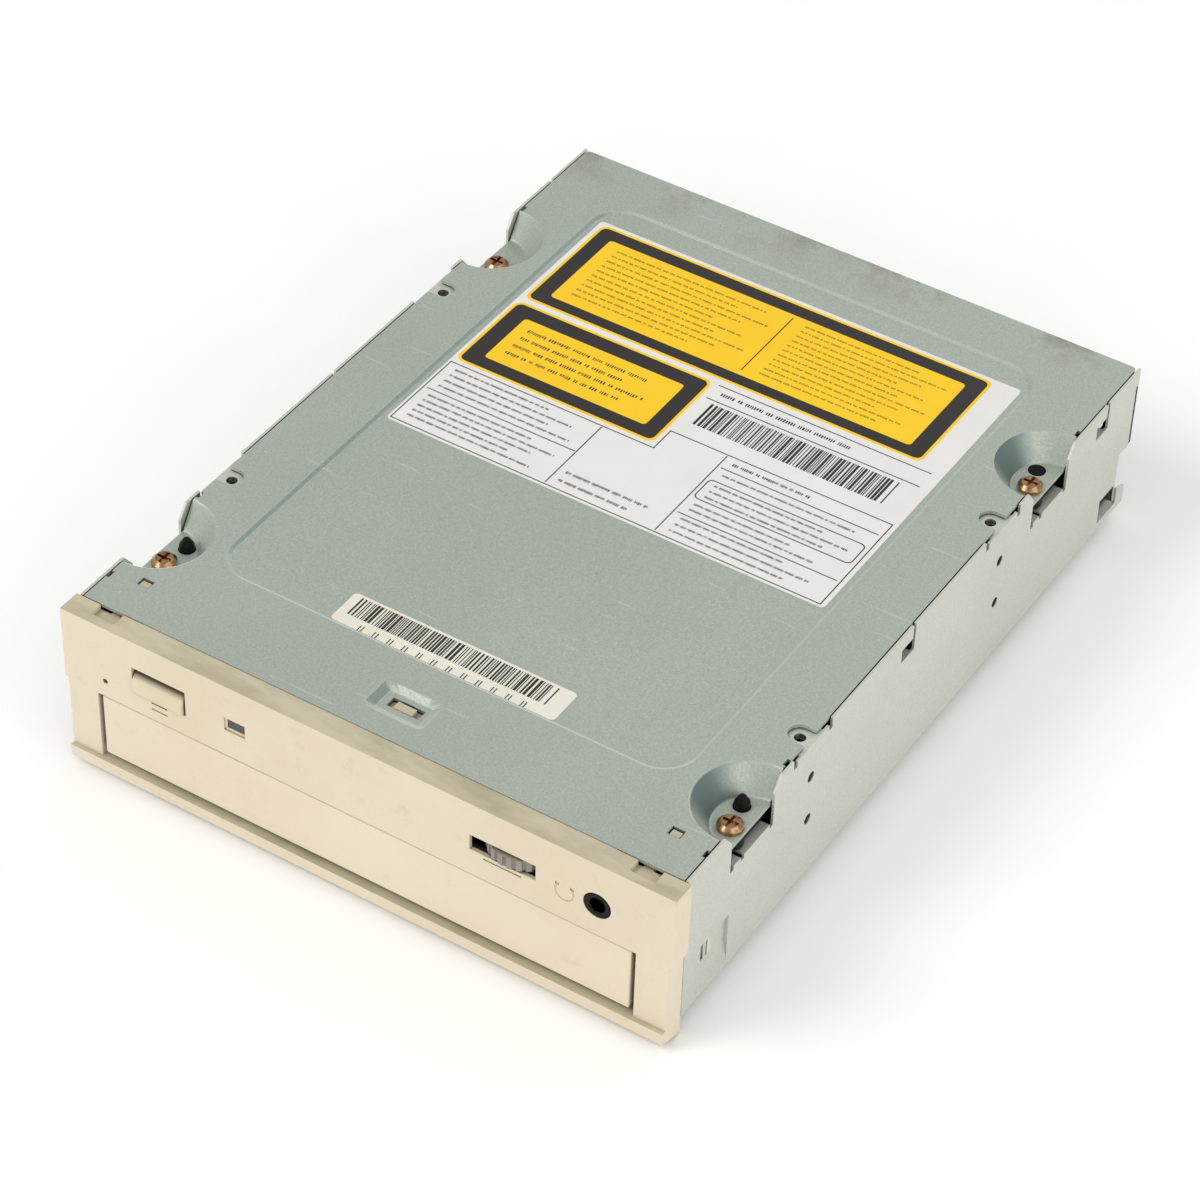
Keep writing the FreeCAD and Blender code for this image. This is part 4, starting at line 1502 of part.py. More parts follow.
def pickup():
    sled = Piece("pickup_sled")
    rear = "sled_front + sled_long"
    sled.box(("-sled_left", "sled_right"), ("sled_front", rear), ("-sled_low_drop", "-sled_top_drop"))
    sled.box(("-optics_left", "optics_right"), ("sled_front + optics_margin", "%s - optics_margin" % rear),
             ("-sled_top_drop - root", "-optics_top_drop"))
    through = ("sled_front - over", "%s + over" % rear)
    sled.cut_rod("y", ("rod_left", "-rod_drop"), through, "rod_r + rod_play")
    sled.cut_box(("rod_right - rod_r - rod_play", "sled_right + over"), through,
                 ("-rod_drop - rod_r - rod_play", "-rod_drop + rod_r + rod_play"))
    sled.cut_box(("-lens_pocket_half", "lens_pocket_half"),
                 ("lens_y - lens_pocket_half", "lens_y + lens_pocket_half"),
                 ("-sled_low_drop - over", "-lens_pocket_drop"))
    holder = Piece("lens_holder")
    half = "lens_half"
    holder.box(("-" + half, half), ("lens_y - " + half, "lens_y + " + half),
               ("-lens_low_drop", "-lens_top_drop"))
    holder.cut_rod("z", ("0", "lens_y"), ("-lens_low_drop - over", "-lens_low_drop + lens_edge"),
                   "lens_r + lens_rim")
    lens = Piece("objective_lens")
    lens.rod("z", ("0", "lens_y"), ("-lens_low_drop", "-lens_low_drop + lens_edge"), "lens_r")
    lens.cone("z", ("0", "lens_y"), ("-lens_low_drop - lens_dome", "-lens_low_drop"), "lens_flat_r",
              "lens_r")


def sled_drive():
    module = size("sled_module")
    pitch_x = size("sled_rack_x")
    span = (size("sled_rack_front"), size("sled_rack_front") + size("sled_rack_long"))
    level = (-size("sled_rack_low"), -size("sled_rack_top"))
    rack = rack_bar(module, pitch_x, size("sled_rack_back"), span, level, size("sled_gear_y"))
    bar_x = pitch_x - DEDENDUM * module - size("sled_rack_back")
    bracket = block((size("sled_right"), bar_x + size("root")),
                    (span[0], size("sled_front") + size("sled_long")), level)
    shaped("sled_rack", rack.fuse(bracket).removeSplitter())
    gear_x, gear_y = size("sled_gear_x"), size("sled_gear_y")
    small = gear_disc(module, int(size("sled_gear_teeth")), gear_x, gear_y, level[0],
                      -size("big_low_drop"), 180)
    turn = size("pinion_turn")
    large = gear_disc(size("big_module"), int(size("big_teeth")), gear_x, gear_y, -size("big_low_drop"),
                      -size("big_top_drop"), turn)
    bore = cylinder(gear_x, gear_y, level[0] - size("over"), 0, size("sled_post_r") + size("post_play"))
    shaped("sled_gear", small.fuse(large).cut(bore).removeSplitter())
    teeth = int(size("pinion_teeth"))
    x = gear_x + size("big_distance") * math.cos(math.radians(turn))
    y = gear_y + size("big_distance") * math.sin(math.radians(turn))
    pinion = gear_disc(size("big_module"), teeth, x, y, -size("pinion_low_drop"), -size("big_top_drop"),
                       turn + 180 + 180 / teeth)
    bore = cylinder(x, y, -size("pinion_low_drop + over"), 0, size("sled_shaft_r + shaft_play"))
    shaped("motor_pinion", pinion.cut(bore))
    motor = Piece("sled_motor")
    top = "-plate_low_drop + plate_thick"
    motor.rod("z", ("pinion_x", "pinion_y"), (top, "%s + sled_motor_tall" % top), "sled_motor_r")
    motor.rod("z", ("pinion_x", "pinion_y"), ("-pinion_low_drop", top), "sled_shaft_r")


outer_case()
bottom_cover()
cover_screws()
labels()
front_bezel()
tray_front()
eject_button()
eject_switch()
lamp()
volume_control()
headphone_jack()
main_board()
board_screws()
board_chips()
data_connector()
power_connector()
audio_connector()
jumper_block()
chassis_frame()
disc_tray()
tray_gear()
pulley_gear()
motor_pulley()
tray_motor()
drive_belt()
cam_slider()
lift_frame()
dampers()
traverse_plate()
guide_rods()
spindle()
clamper_set()
pickup()
sled_drive()

for draft in drafts:
    draft.settle()
document.recompute()

for item in document.Objects:
    if "Invalid" in item.State or "Error" in item.State:
        raise RuntimeError("%s in %s failed" % (item.Name, item.Label))
os.makedirs("parts", exist_ok=True)
for item in pieces:
    if item.Shape.isNull() or not item.Shape.isValid():
        raise RuntimeError("%s has no valid shape" % item.Label)
for item in pieces:
    item.Shape.exportStep("parts/%s.step" % item.Label)
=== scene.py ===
import json
import math
import random

import bmesh
import bpy
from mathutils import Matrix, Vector

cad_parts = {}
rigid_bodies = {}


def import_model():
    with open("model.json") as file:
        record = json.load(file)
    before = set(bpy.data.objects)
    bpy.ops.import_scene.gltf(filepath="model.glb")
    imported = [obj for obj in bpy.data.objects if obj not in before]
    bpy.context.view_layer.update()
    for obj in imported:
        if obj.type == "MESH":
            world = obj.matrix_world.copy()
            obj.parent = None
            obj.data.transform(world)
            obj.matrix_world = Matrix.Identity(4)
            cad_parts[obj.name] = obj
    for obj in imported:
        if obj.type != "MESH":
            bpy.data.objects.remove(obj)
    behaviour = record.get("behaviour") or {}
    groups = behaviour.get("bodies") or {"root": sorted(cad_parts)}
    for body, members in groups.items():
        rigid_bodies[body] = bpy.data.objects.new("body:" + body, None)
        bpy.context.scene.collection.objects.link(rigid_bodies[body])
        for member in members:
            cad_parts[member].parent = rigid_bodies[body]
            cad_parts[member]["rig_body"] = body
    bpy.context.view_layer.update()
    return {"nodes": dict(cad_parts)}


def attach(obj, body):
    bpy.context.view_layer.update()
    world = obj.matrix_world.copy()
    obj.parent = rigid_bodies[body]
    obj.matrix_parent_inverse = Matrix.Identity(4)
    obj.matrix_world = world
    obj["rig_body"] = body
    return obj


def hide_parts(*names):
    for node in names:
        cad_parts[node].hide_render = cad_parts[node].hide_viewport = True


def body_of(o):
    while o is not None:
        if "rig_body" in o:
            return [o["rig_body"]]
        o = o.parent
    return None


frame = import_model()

nodes = frame["nodes"]
MM = 0.001

# The drive's own frame has Y 0 on the bezel's rear face and Z 0 on the bottom cover.
SHIFT_Y = -91.9
SHIFT_Z = 42.4
PANEL_Z = -0.5          # the sunken panel's face
LABEL_THICK = 0.12


def at(x, y, z):
    """A point of the drive's frame, in millimetres, in the part's frame, in metres."""
    return Vector((x * MM, (y + SHIFT_Y) * MM, (z + SHIFT_Z) * MM))


def srgb(text):
    """A linear colour from a six-digit colour code."""
    channels = [int(text[k:k + 2], 16) / 255 for k in (0, 2, 4)]
    return [c / 12.92 if c <= 0.04045 else ((c + 0.055) / 1.055) ** 2.4 for c in channels] + [1.0]


def placed(name, mesh, look=None):
    """A new object for a mesh, linked to the scene and given one of the materials."""
    if look:
        mesh.materials.append(materials[look])
    thing = bpy.data.objects.new(name, mesh)
    bpy.context.scene.collection.objects.link(thing)
    return thing


def mesh_of(work, name):
    """A mesh from the faces gathered so far, all of them facing outwards."""
    bmesh.ops.recalc_face_normals(work, faces=work.faces)
    mesh = bpy.data.meshes.new(name)
    work.to_mesh(mesh)
    work.free()
    return mesh


# Materials: each has its own grain, colour change, roughness and bump

class Surface:
    """A material built from nodes, with helpers for noise, ramps and bump."""

    def __init__(self, name, metallic=0.0, specular=0.5, coat=0.0):
        self.material = bpy.data.materials.new(name)
        self.material.use_nodes = True
        self.tree = self.material.node_tree
        self.tree.nodes.clear()
        self.out = self.tree.nodes.new("ShaderNodeOutputMaterial")
        self.shader = self.tree.nodes.new("ShaderNodeBsdfPrincipled")
        self.link(self.shader.outputs[0], self.out.inputs[0])
        self.shader.inputs["Metallic"].default_value = metallic
        self.shader.inputs["Specular IOR Level"].default_value = specular
        self.shader.inputs["Coat Weight"].default_value = coat
        self.place = self.tree.nodes.new("ShaderNodeTexCoord").outputs["Object"]
        self.heights = None

    def link(self, start, end):
        self.tree.links.new(start, end)

    def stretch(self, x, y, z):
        """Coordinates stretched for a brushed or rolled grain."""
        mapping = self.tree.nodes.new("ShaderNodeMapping")
        mapping.inputs["Scale"].default_value = (x, y, z)
        self.link(self.place, mapping.inputs["Vector"])
        return mapping.outputs[0]

    def noise(self, size_mm, detail=4.0, rough=0.55, place=None):
        """Noise whose features are about this many millimetres across."""
        node = self.tree.nodes.new("ShaderNodeTexNoise")
        node.inputs["Scale"].default_value = 1 / (size_mm * MM)
        node.inputs["Detail"].default_value = detail
        node.inputs["Roughness"].default_value = rough
        self.link(place or self.place, node.inputs["Vector"])
        return node.outputs["Fac"]

    def cells(self, size_mm, feature="F1"):
        node = self.tree.nodes.new("ShaderNodeTexVoronoi")
        node.feature = feature
        node.inputs["Scale"].default_value = 1 / (size_mm * MM)
        self.link(self.place, node.inputs["Vector"])
        return node.outputs["Color" if feature == "F1" else "Distance"]

    def span(self, value, low, high, to_low=0.0, to_high=1.0):
        """Maps a value's range onto another, and stops at its ends."""
        node = self.tree.nodes.new("ShaderNodeMapRange")
        node.inputs["From Min"].default_value = low
        node.inputs["From Max"].default_value = high
        node.inputs["To Min"].default_value = to_low
        node.inputs["To Max"].default_value = to_high
        self.link(value, node.inputs["Value"])
        return node.outputs[0]

    def mix(self, amount, first, second):
        node = self.tree.nodes.new("ShaderNodeMix")
        node.data_type = "RGBA"
        if isinstance(amount, float):
            node.inputs[0].default_value = amount
        else:
            self.link(amount, node.inputs[0])
        for socket, value in ((node.inputs[6], first), (node.inputs[7], second)):
            if isinstance(value, (list, tuple)):
                socket.default_value = value
            else:
                self.link(value, socket)
        return node.outputs[2]

    def facing_up(self, low, high):
        """1 where the surface faces up, 0 where it stands upright."""
        normal = self.tree.nodes.new("ShaderNodeNewGeometry").outputs["Normal"]
        split = self.tree.nodes.new("ShaderNodeSeparateXYZ")
        self.link(normal, split.inputs[0])
        return self.span(split.outputs["Z"], low, high)

    def facing(self, way, low, high):
        """1 where the surface faces this way, 0 where it turns far enough from it."""
        normal = self.tree.nodes.new("ShaderNodeNewGeometry").outputs["Normal"]
        node = self.tree.nodes.new("ShaderNodeVectorMath")
        node.operation = "DOT_PRODUCT"
        self.link(normal, node.inputs[0])
        node.inputs[1].default_value = way
        return self.span(node.outputs["Value"], low, high)

    def beyond_y(self, low, high):
        """0 in front of one depth of the drive and 1 behind the other, in millimetres."""
        split = self.tree.nodes.new("ShaderNodeSeparateXYZ")
        self.link(self.place, split.inputs[0])
        return self.span(split.outputs["Y"], (low + SHIFT_Y) * MM, (high + SHIFT_Y) * MM)

    def times(self, first, second):
        node = self.tree.nodes.new("ShaderNodeMath")
        node.operation = "MULTIPLY"
        self.link(first, node.inputs[0])
        self.link(second, node.inputs[1])
        return node.outputs[0]

    def occlusion_shade(self, reach_mm, low=0.25, high=0.75):
        """1 deep in a gap or a sharp inner corner, and 0 on open faces: the mask for painted shade."""
        node = self.tree.nodes.new("ShaderNodeAmbientOcclusion")
        node.samples = 6
        node.inputs["Distance"].default_value = reach_mm * MM
        return self.span(node.outputs["AO"], low, high, 1.0, 0.0)

    def colour(self, value):
        if isinstance(value, (list, tuple)):
            self.shader.inputs["Base Color"].default_value = value
        else:
            self.link(value, self.shader.inputs["Base Color"])

    def roughness(self, value, low, high, from_low=0.3, from_high=0.7):
        self.link(self.span(value, from_low, from_high, low, high), self.shader.inputs["Roughness"])

    def bump(self, height, depth_mm, strength=1.0):
        node = self.tree.nodes.new("ShaderNodeBump")
        node.inputs["Distance"].default_value = depth_mm * MM
        node.inputs["Strength"].default_value = strength
        self.link(height, node.inputs["Height"])
        if self.heights is not None:
            self.link(self.heights, node.inputs["Normal"])
        self.heights = node.outputs[0]
        self.link(self.heights, self.shader.inputs["Normal"])


GLINT = [0.80, 0.81, 0.77, 1.0]
SCRATCH = [0.82, 0.83, 0.80, 1.0]
RUBBED = srgb("8F8B7C")
# Painted shade for slopes that face right, and a painted highlight for bends that face back and left
SLOPE_SHADE = srgb("6F7F7B")
BEND_HIGHLIGHT = srgb("D3D9D0")
# Painted shade colours: in the sheet's gaps, in the cream plastic's gaps, and in the button's slot
GAP_SHADE_BLACK = srgb("2B2D28")
GAP_SHADE_BROWN = srgb("5B4A33")
SLOT_SHADE_BROWN = srgb("4A3A28")
RIGHT_AND_UP = (0.80, 0.0, 0.60)
BACK_LEFT_AND_UP = (-0.42, 0.56, 0.71)


def zinc_sheet(name, base, pale, dull, metallic=0.55, pressed=False):
    """Zinc-plated sheet: a fine speckled grain, a faint sheen, stains and a few long scratches.

    A pressed sheet gets a painted highlight on the bends that face back and left and painted shade on
    the slopes that face right, and it is rubbed at its rear edge.
    """
    s = Surface(name, metallic=metallic)
    sheen = s.noise(45.0, 2.0)
    speckle = s.noise(0.55, 3.0, 0.7)
    fine = s.noise(0.22, 2.0, 0.6)
    rolled = s.noise(1.6, 3.0, 0.6, s.stretch(1.0, 0.10, 1.0))
    body = s.mix(s.span(sheen, 0.38, 0.62, 0.0, 0.5), base, pale)
    body = s.mix(s.span(speckle, 0.36, 0.64, 0.0, 0.42), body, dull)
    body = s.mix(s.span(fine, 0.52, 0.66, 0.0, 0.30), body, GLINT)
    body = s.mix(s.span(rolled, 0.45, 0.70, 0.0, 0.12), body, pale)
    stain = s.span(s.noise(11.0, 5.0, 0.7), 0.63, 0.72, 0.0, 0.22)
    body = s.mix(stain, body, dull)
    scratch = s.span(s.noise(6.0, 2.0, 0.5, s.stretch(0.35, 4.5, 0.8)), 0.71, 0.75, 0.0, 0.22)
    body = s.mix(scratch, body, SCRATCH)
    if pressed:
        rub = s.times(s.beyond_y(176.0, 190.0), s.span(s.noise(16.0, 6.0, 0.72), 0.50, 0.66, 0.0, 0.75))
        body = s.mix(rub, body, RUBBED)
        # Painted shade on the slopes that face right, and a painted highlight on the bends that face back
        # and left
        body = s.mix(s.facing(RIGHT_AND_UP, 0.80, 0.97), body, SLOPE_SHADE)
        body = s.mix(s.facing(BACK_LEFT_AND_UP, 0.76, 0.90), body, BEND_HIGHLIGHT)
    # Painted shade, near black, in the sheet's gaps and inner corners
    body = s.mix(s.occlusion_shade(2.0, 0.15, 0.55), body, GAP_SHADE_BLACK)
    s.colour(body)
    s.roughness(speckle, 0.40, 0.56)
    s.bump(speckle, 0.012, 0.6)
    s.bump(rolled, 0.008, 0.3)
    return s.material


def moulded(name, base, second, rough, grain_mm=0.35, depth=0.018, crevice_shade=None, **shader):
    """Moulded plastic: a spark-eroded texture, slow colour change from age, and painted shade in crevices
    if given.
    """
    s = Surface(name, **shader)
    clouds = s.noise(18.0, 4.0)
    grain = s.noise(grain_mm, 3.0, 0.6)
    body = s.mix(s.span(clouds, 0.35, 0.65), base, second)
    body = s.mix(s.span(grain, 0.35, 0.65, 0.0, 0.12), body, [c * 0.7 for c in base[:3]] + [1.0])
    if crevice_shade:
        # Painted shade in the crevices, such as between the wheel's ribs
        body = s.mix(s.occlusion_shade(1.6, 0.25, 0.70), body, crevice_shade)
    s.colour(body)
    s.roughness(s.noise(3.0, 3.0), rough[0], rough[1])
    s.bump(grain, depth, 0.6)
    return s.material


def aged_cream(name, base, second, top, grime, shaded=None):
    """The bezel's plastic: aged cream, with painted shade and grime streaks where it faces up.

    It has a painted slot shadow, dark brown, behind the second depth of the shaded pair.
    """
    s = Surface(name, specular=0.35)
    clouds = s.noise(30.0, 4.0)
    grain = s.noise(0.30, 3.0, 0.6)
    body = s.mix(s.span(clouds, 0.35, 0.65), base, second)
    body = s.mix(s.span(grain, 0.35, 0.68, 0.0, 0.10), body, grime)
    # Painted shade on the faces that face up, streaked with grime
    upward = s.facing_up(0.35, 0.85)
    streaks = s.noise(9.0, 5.0, 0.65, s.stretch(0.5, 1.6, 1.0))
    shaded_top_and_grime = s.mix(s.span(streaks, 0.42, 0.66, 0.0, 0.55), top, grime)
    body = s.mix(upward, body, shaded_top_and_grime)
    smudge = s.span(s.noise(4.5, 5.0, 0.7), 0.60, 0.74, 0.0, 0.16)
    body = s.mix(smudge, body, grime)
    # Painted shade, brown, in the plastic's gaps and inner corners
    body = s.mix(s.occlusion_shade(2.2, 0.15, 0.50), body, GAP_SHADE_BROWN)
    # Painted shadow of the button slot's upper edge on the parts set back behind these depths
    if shaded:
        body = s.mix(s.beyond_y(*shaded), body, SLOT_SHADE_BROWN)
    s.colour(body)
    s.roughness(s.noise(3.5, 3.0), 0.52, 0.68)
    s.bump(grain, 0.022, 0.6)
    return s.material


def cut_metal(name, base, second, rough, ring_mm=0.25, metallic=1.0):
    """Turned or plated metal with a fine tool mark and slight tarnish."""
    s = Surface(name, metallic=metallic)
    tarnish = s.noise(1.1, 4.0, 0.6)
    tool = s.noise(ring_mm, 2.0, 0.5)
    body = s.mix(s.span(tarnish, 0.40, 0.66), base, second)
    s.colour(body)
    s.roughness(tarnish, rough[0], rough[1])
    s.bump(tool, 0.01, 0.5)
    return s.material


def printed_film(name, base, shade, rough=(0.36, 0.46)):
    """Printed film: very fine mottling under a soft gloss."""
    s = Surface(name, specular=0.45)
    mottle = s.noise(0.6, 3.0)
    body = s.mix(s.span(s.noise(14.0, 3.0), 0.35, 0.65, 0.0, 0.35), base, shade)
    body = s.mix(s.span(mottle, 0.35, 0.65, 0.0, 0.12), body, shade)
    s.colour(body)
    s.roughness(s.noise(2.5, 3.0), rough[0], rough[1])
    s.bump(mottle, 0.006, 0.4)
    return s.material


def circuit_board(name):
    """Green solder mask over copper tracks that run mostly one way."""
    s = Surface(name, specular=0.55, coat=0.25)
    tracks = s.tree.nodes.new("ShaderNodeTexBrick")
    tracks.inputs["Scale"].default_value = 170.0
    tracks.inputs["Color1"].default_value = srgb("1C5B2E")
    tracks.inputs["Color2"].default_value = srgb("236B36")
    tracks.inputs["Mortar"].default_value = srgb("143F20")
    tracks.inputs["Mortar Size"].default_value = 0.05
    s.link(s.place, tracks.inputs["Vector"])
    dots = s.span(s.cells(3.1, "DISTANCE_TO_EDGE"), 0.02, 0.05)
    body = s.mix(dots, srgb("2E7A41"), tracks.outputs["Color"])
    body = s.mix(s.span(s.noise(16.0, 3.0), 0.4, 0.6, 0.0, 0.3), body, srgb("17492A"))
    s.colour(body)
    s.roughness(s.noise(2.0, 3.0), 0.28, 0.42)
    s.bump(tracks.outputs["Fac"], 0.03, 0.4)
    return s.material


def clear_lens(name):
    s = Surface(name, specular=0.6, coat=0.5)
    tint = s.mix(s.span(s.noise(1.5, 2.0), 0.4, 0.6), srgb("7C93C8"), srgb("A7B9DE"))
    s.colour(tint)
    s.shader.inputs["Transmission Weight"].default_value = 0.55
    s.roughness(s.noise(0.8, 2.0), 0.03, 0.07)
    return s.material


STEEL_DARK = srgb("8C9288")
materials = {
    "cover_zinc": zinc_sheet("cover_zinc", srgb("B0B8AD"), srgb("B9C1B7"), srgb("949C93"), pressed=True),
    # The case is the same plated steel as the cover: its paler colours are painted light on its upright
    # walls
    "case_zinc_lit": zinc_sheet("case_zinc_lit", srgb("CDCFC4"), srgb("D9DACF"), srgb("B9BBAF")),
    "inner_zinc": zinc_sheet("inner_zinc", srgb("A9ADA6"), srgb("B9BDB6"), STEEL_DARK),
    # Each cream's third colour is painted shade for the faces that face up
    "cream": aged_cream("cream", srgb("DFD2B8"), srgb("E3D8C1"), srgb("C3BA9F"), srgb("9A9178")),
    "cream_tray": aged_cream("cream_tray", srgb("E2D5BC"), srgb("E6DBC5"), srgb("C6BDA2"), srgb("A39A80")),
    # The button's pair of depths: painted slot shadow behind them
    "cream_button": aged_cream("cream_button", srgb("D9D0B0"), srgb("DED6BA"), srgb("CFC6A8"),
                               srgb("A9A082"), (-5.75, -4.85)),
    "black_frame": moulded("black_frame", srgb("060607"), srgb("0B0B0C"), (0.42, 0.56), specular=0.16),
    "black_gloss": moulded("black_gloss", srgb("030304"), srgb("060607"), (0.20, 0.30), 0.6, 0.004,
                           specular=0.16),
    "smoked": moulded("smoked", srgb("3A3330"), srgb("2A2422"), (0.10, 0.18), 0.8, 0.003, coat=0.3),
    "connector_black": moulded("connector_black", srgb("202123"), srgb("2A2B2D"), (0.35, 0.5)),
    # The wheel's last colour is painted shade between its ribs
    "wheel_grey": moulded("wheel_grey", srgb("A79C8F"), srgb("8F857B"), (0.42, 0.6), 0.4, 0.03,
                          srgb("3A322C")),
    "pot_grey": moulded("pot_grey", srgb("3B3B3C"), srgb("2C2C2D"), (0.4, 0.55)),
    "gear_white": moulded("gear_white", srgb("E9E7DE"), srgb("F1EFE8"), (0.30, 0.42), 0.5, 0.006),
    "plug_white": moulded("plug_white", srgb("E4E0D2"), srgb("D9D4C4"), (0.38, 0.5), 0.5, 0.008),
    "tray_black": moulded("tray_black", srgb("222324"), srgb("2B2C2D"), (0.42, 0.56), 0.28, 0.02),
    "sled_grey": moulded("sled_grey", srgb("57595B"), srgb("66686A"), (0.38, 0.5), 0.3, 0.015),
    "rubber": moulded("rubber", srgb("161616"), srgb("202020"), (0.72, 0.86), 0.25, 0.02),
    "chip": moulded("chip", srgb("17181A"), srgb("202124"), (0.5, 0.62), 0.18, 0.01),
    "led_clear": moulded("led_clear", srgb("A9B39A"), srgb("BBC4AC"), (0.12, 0.2), 0.7, 0.003),
    "magnet": cut_metal("magnet", srgb("4A4B4D"), srgb("5B5C5E"), (0.45, 0.6)),
    "copper": cut_metal("copper", srgb("BC9873"), srgb("8A6245"), (0.18, 0.34)),
    # Dark steel for the threads: partly the threads' own colour and partly painted shade inside the holes
    "thread_steel_shaded": cut_metal("thread_steel_shaded", srgb("4C4B45"), srgb("2E2D29"), (0.25, 0.4)),
    "bright_steel": cut_metal("bright_steel", srgb("C2C4C4"), srgb("A9ABAB"), (0.18, 0.30)),
    "motor_steel": cut_metal("motor_steel", srgb("A8ABAA"), srgb("BBBEBD"), (0.28, 0.42)),
    "can": cut_metal("can", srgb("7E8688"), srgb("8E9698"), (0.25, 0.4)),
    "gold": cut_metal("gold", srgb("D9B45C"), srgb("C39A45"), (0.18, 0.3)),
    "board": circuit_board("board"),
    "lens": clear_lens("lens"),
    "label_white": printed_film("label_white", srgb("E6E5E1"), srgb("DBD9D5")),
    "label_cream": printed_film("label_cream", srgb("E5E2D3"), srgb("DAD6C5")),
    "label_yellow": printed_film("label_yellow", srgb("FBCB00"), srgb("F2BF00")),
    "label_black": printed_film("label_black", srgb("1F1A16"), srgb("28231E")),
    "label_grey": printed_film("label_grey", srgb("77736F"), srgb("8A8682")),
}

DRESS = {
    "outer_case": "case_zinc_lit", "bottom_cover": "cover_zinc", "cover_screws": "copper",
    "main_label": "label_white", "barcode_label": "label_cream", "front_bezel": "cream",
    "tray_front": "cream_tray", "eject_button": "cream_button", "eject_switch": "connector_black",
    "switch_plunger": "gear_white", "lamp_window": "smoked", "status_lamp": "led_clear",
    "volume_pot": "pot_grey", "volume_wheel": "wheel_grey", "headphone_jack": "black_gloss",
    "main_board": "board", "board_screws": "bright_steel", "board_chips": "chip",
    "board_capacitors": "can", "data_connector": "connector_black", "data_pins": "gold",
    "power_connector": "plug_white", "power_pins": "gold",
    "audio_connector": "plug_white", "audio_pins": "gold", "jumper_block": "connector_black",
    "jumper_pins": "gold", "jumper_cap": "connector_black", "chassis_frame": "black_frame",
    "disc_tray": "tray_black", "tray_gear": "gear_white", "pulley_gear": "gear_white",
    "motor_pulley": "gear_white", "tray_motor": "motor_steel", "drive_belt": "rubber",
    "cam_slider": "black_frame", "lift_frame": "black_frame", "rubber_dampers": "rubber",
    "damper_screws": "bright_steel", "traverse_plate": "inner_zinc", "guide_rods": "bright_steel",
    "rod_holders": "black_frame", "spindle_motor": "motor_steel", "turntable": "tray_black",
    "turntable_pad": "rubber", "clamper": "tray_black", "clamper_magnet": "magnet",
    "clamper_bridge": "inner_zinc", "bridge_screws": "bright_steel",
    "pickup_sled": "sled_grey", "lens_holder": "black_frame", "objective_lens": "lens",
    "sled_rack": "gear_white", "sled_gear": "gear_white", "motor_pinion": "gear_white",
    "sled_motor": "motor_steel",
}
for node, look in DRESS.items():
    mesh = nodes[node].data
    mesh.materials.clear()
    mesh.materials.append(materials[look])


# Soft edges: the CAD pieces keep their shape and place, and only their sharp edges are rounded

# Node: material slot, radius of its edges and radius of its pressed bends, in millimetres
ROUNDED = {
    "outer_case": ("case_steel", 0.12, 0), "bottom_cover": ("plated_steel", 0.14, 0.9),
    "cover_screws": ("copper_screw", 0.16, 0), "front_bezel": ("bezel_plastic", 0.35, 0),
    "tray_front": ("bezel_plastic", 0.3, 0),
    "lamp_window": ("smoked_plastic", 0.15, 0), "volume_wheel": ("grey_plastic", 0.12, 0),
    "headphone_jack": ("gloss_black", 0.2, 0), "chassis_frame": ("black_plastic", 0.2, 0),
    "disc_tray": ("black_plastic", 0.3, 0), "data_connector": ("black_plastic", 0.25, 0),
    "power_connector": ("white_plastic", 0.3, 0), "audio_connector": ("white_plastic", 0.25, 0),
}
FINE_EDGE = 0.1
SHARP_ANGLE = math.radians(33)
WELD_REACH = 1e-6       # metres
PRESSED_ANGLES = (math.radians(27), math.radians(68))


def welded(mesh, flat):
    """The mesh with shared corners, and with flat areas joined to single faces where asked."""
    work = bmesh.new()
    work.from_mesh(mesh)
    bmesh.ops.remove_doubles(work, verts=work.verts, dist=WELD_REACH)
    if flat:
        bmesh.ops.dissolve_limit(work, angle_limit=math.radians(0.4), verts=work.verts, edges=work.edges)
    return work


def slanting(edge):
    """True for the edge of a pressed slope, and not for a cut edge or a smooth bend."""
    low, high = PRESSED_ANGLES
    return len(edge.link_faces) == 2 and low < edge.calc_face_angle(0) < high


def connected_runs(edges):
    """The edges sorted into groups that hang together."""
    waiting, runs = set(edges), []
    while waiting:
        run, front = [], [waiting.pop()]
        while front:
            edge = front.pop()
            run.append(edge)
            for corner in edge.verts:
                for other in corner.link_edges:
                    if other in waiting:
                        waiting.remove(other)
                        front.append(other)
        runs.append(run)
    return runs


def depth_of(run):
    """How deep the press is whose slope this run of edges bounds."""
    heights = [max(v.co.z for v in face.verts) - min(v.co.z for v in face.verts)
               for edge in run for face in edge.link_faces]
    return max(heights)


def round_pressed(work, radius):
    """Rounds the bends that a press leaves in a sheet: wide on the deep dishes, fine elsewhere."""
    for run in connected_runs(edge for edge in work.edges if slanting(edge)):
        edges = [edge for edge in run if edge.is_valid]
        if len(edges) < 4:
            continue
        offset = min(radius * MM, 0.2 * depth_of(edges))
        bmesh.ops.bevel(work, geom=edges, offset=offset, offset_type="OFFSET", segments=4,
                        profile=0.5, affect="EDGES", clamp_overlap=True)


def lies_flat(face):
    """True for a face square to the axes that is part of a wider flat, or that stands alone."""
    if max(abs(c) for c in face.normal) < 0.99999:
        return False
    angles = [edge.calc_face_angle(0) for edge in face.edges if len(edge.link_faces) == 2]
    return min(angles, default=0) < math.radians(0.2) or min(angles) > SHARP_ANGLE


def edge_bevel(thing, width):
    """Rounds a piece's sharp edges by this many millimetres."""
    bevel = thing.modifiers.new("soft_edges", "BEVEL")
    bevel.width = width * MM
    bevel.segments = 2
    bevel.limit_method = "ANGLE"
    bevel.angle_limit = SHARP_ANGLE
    even = thing.modifiers.new("flat_faces", "WEIGHTED_NORMAL")
    even.keep_sharp = True


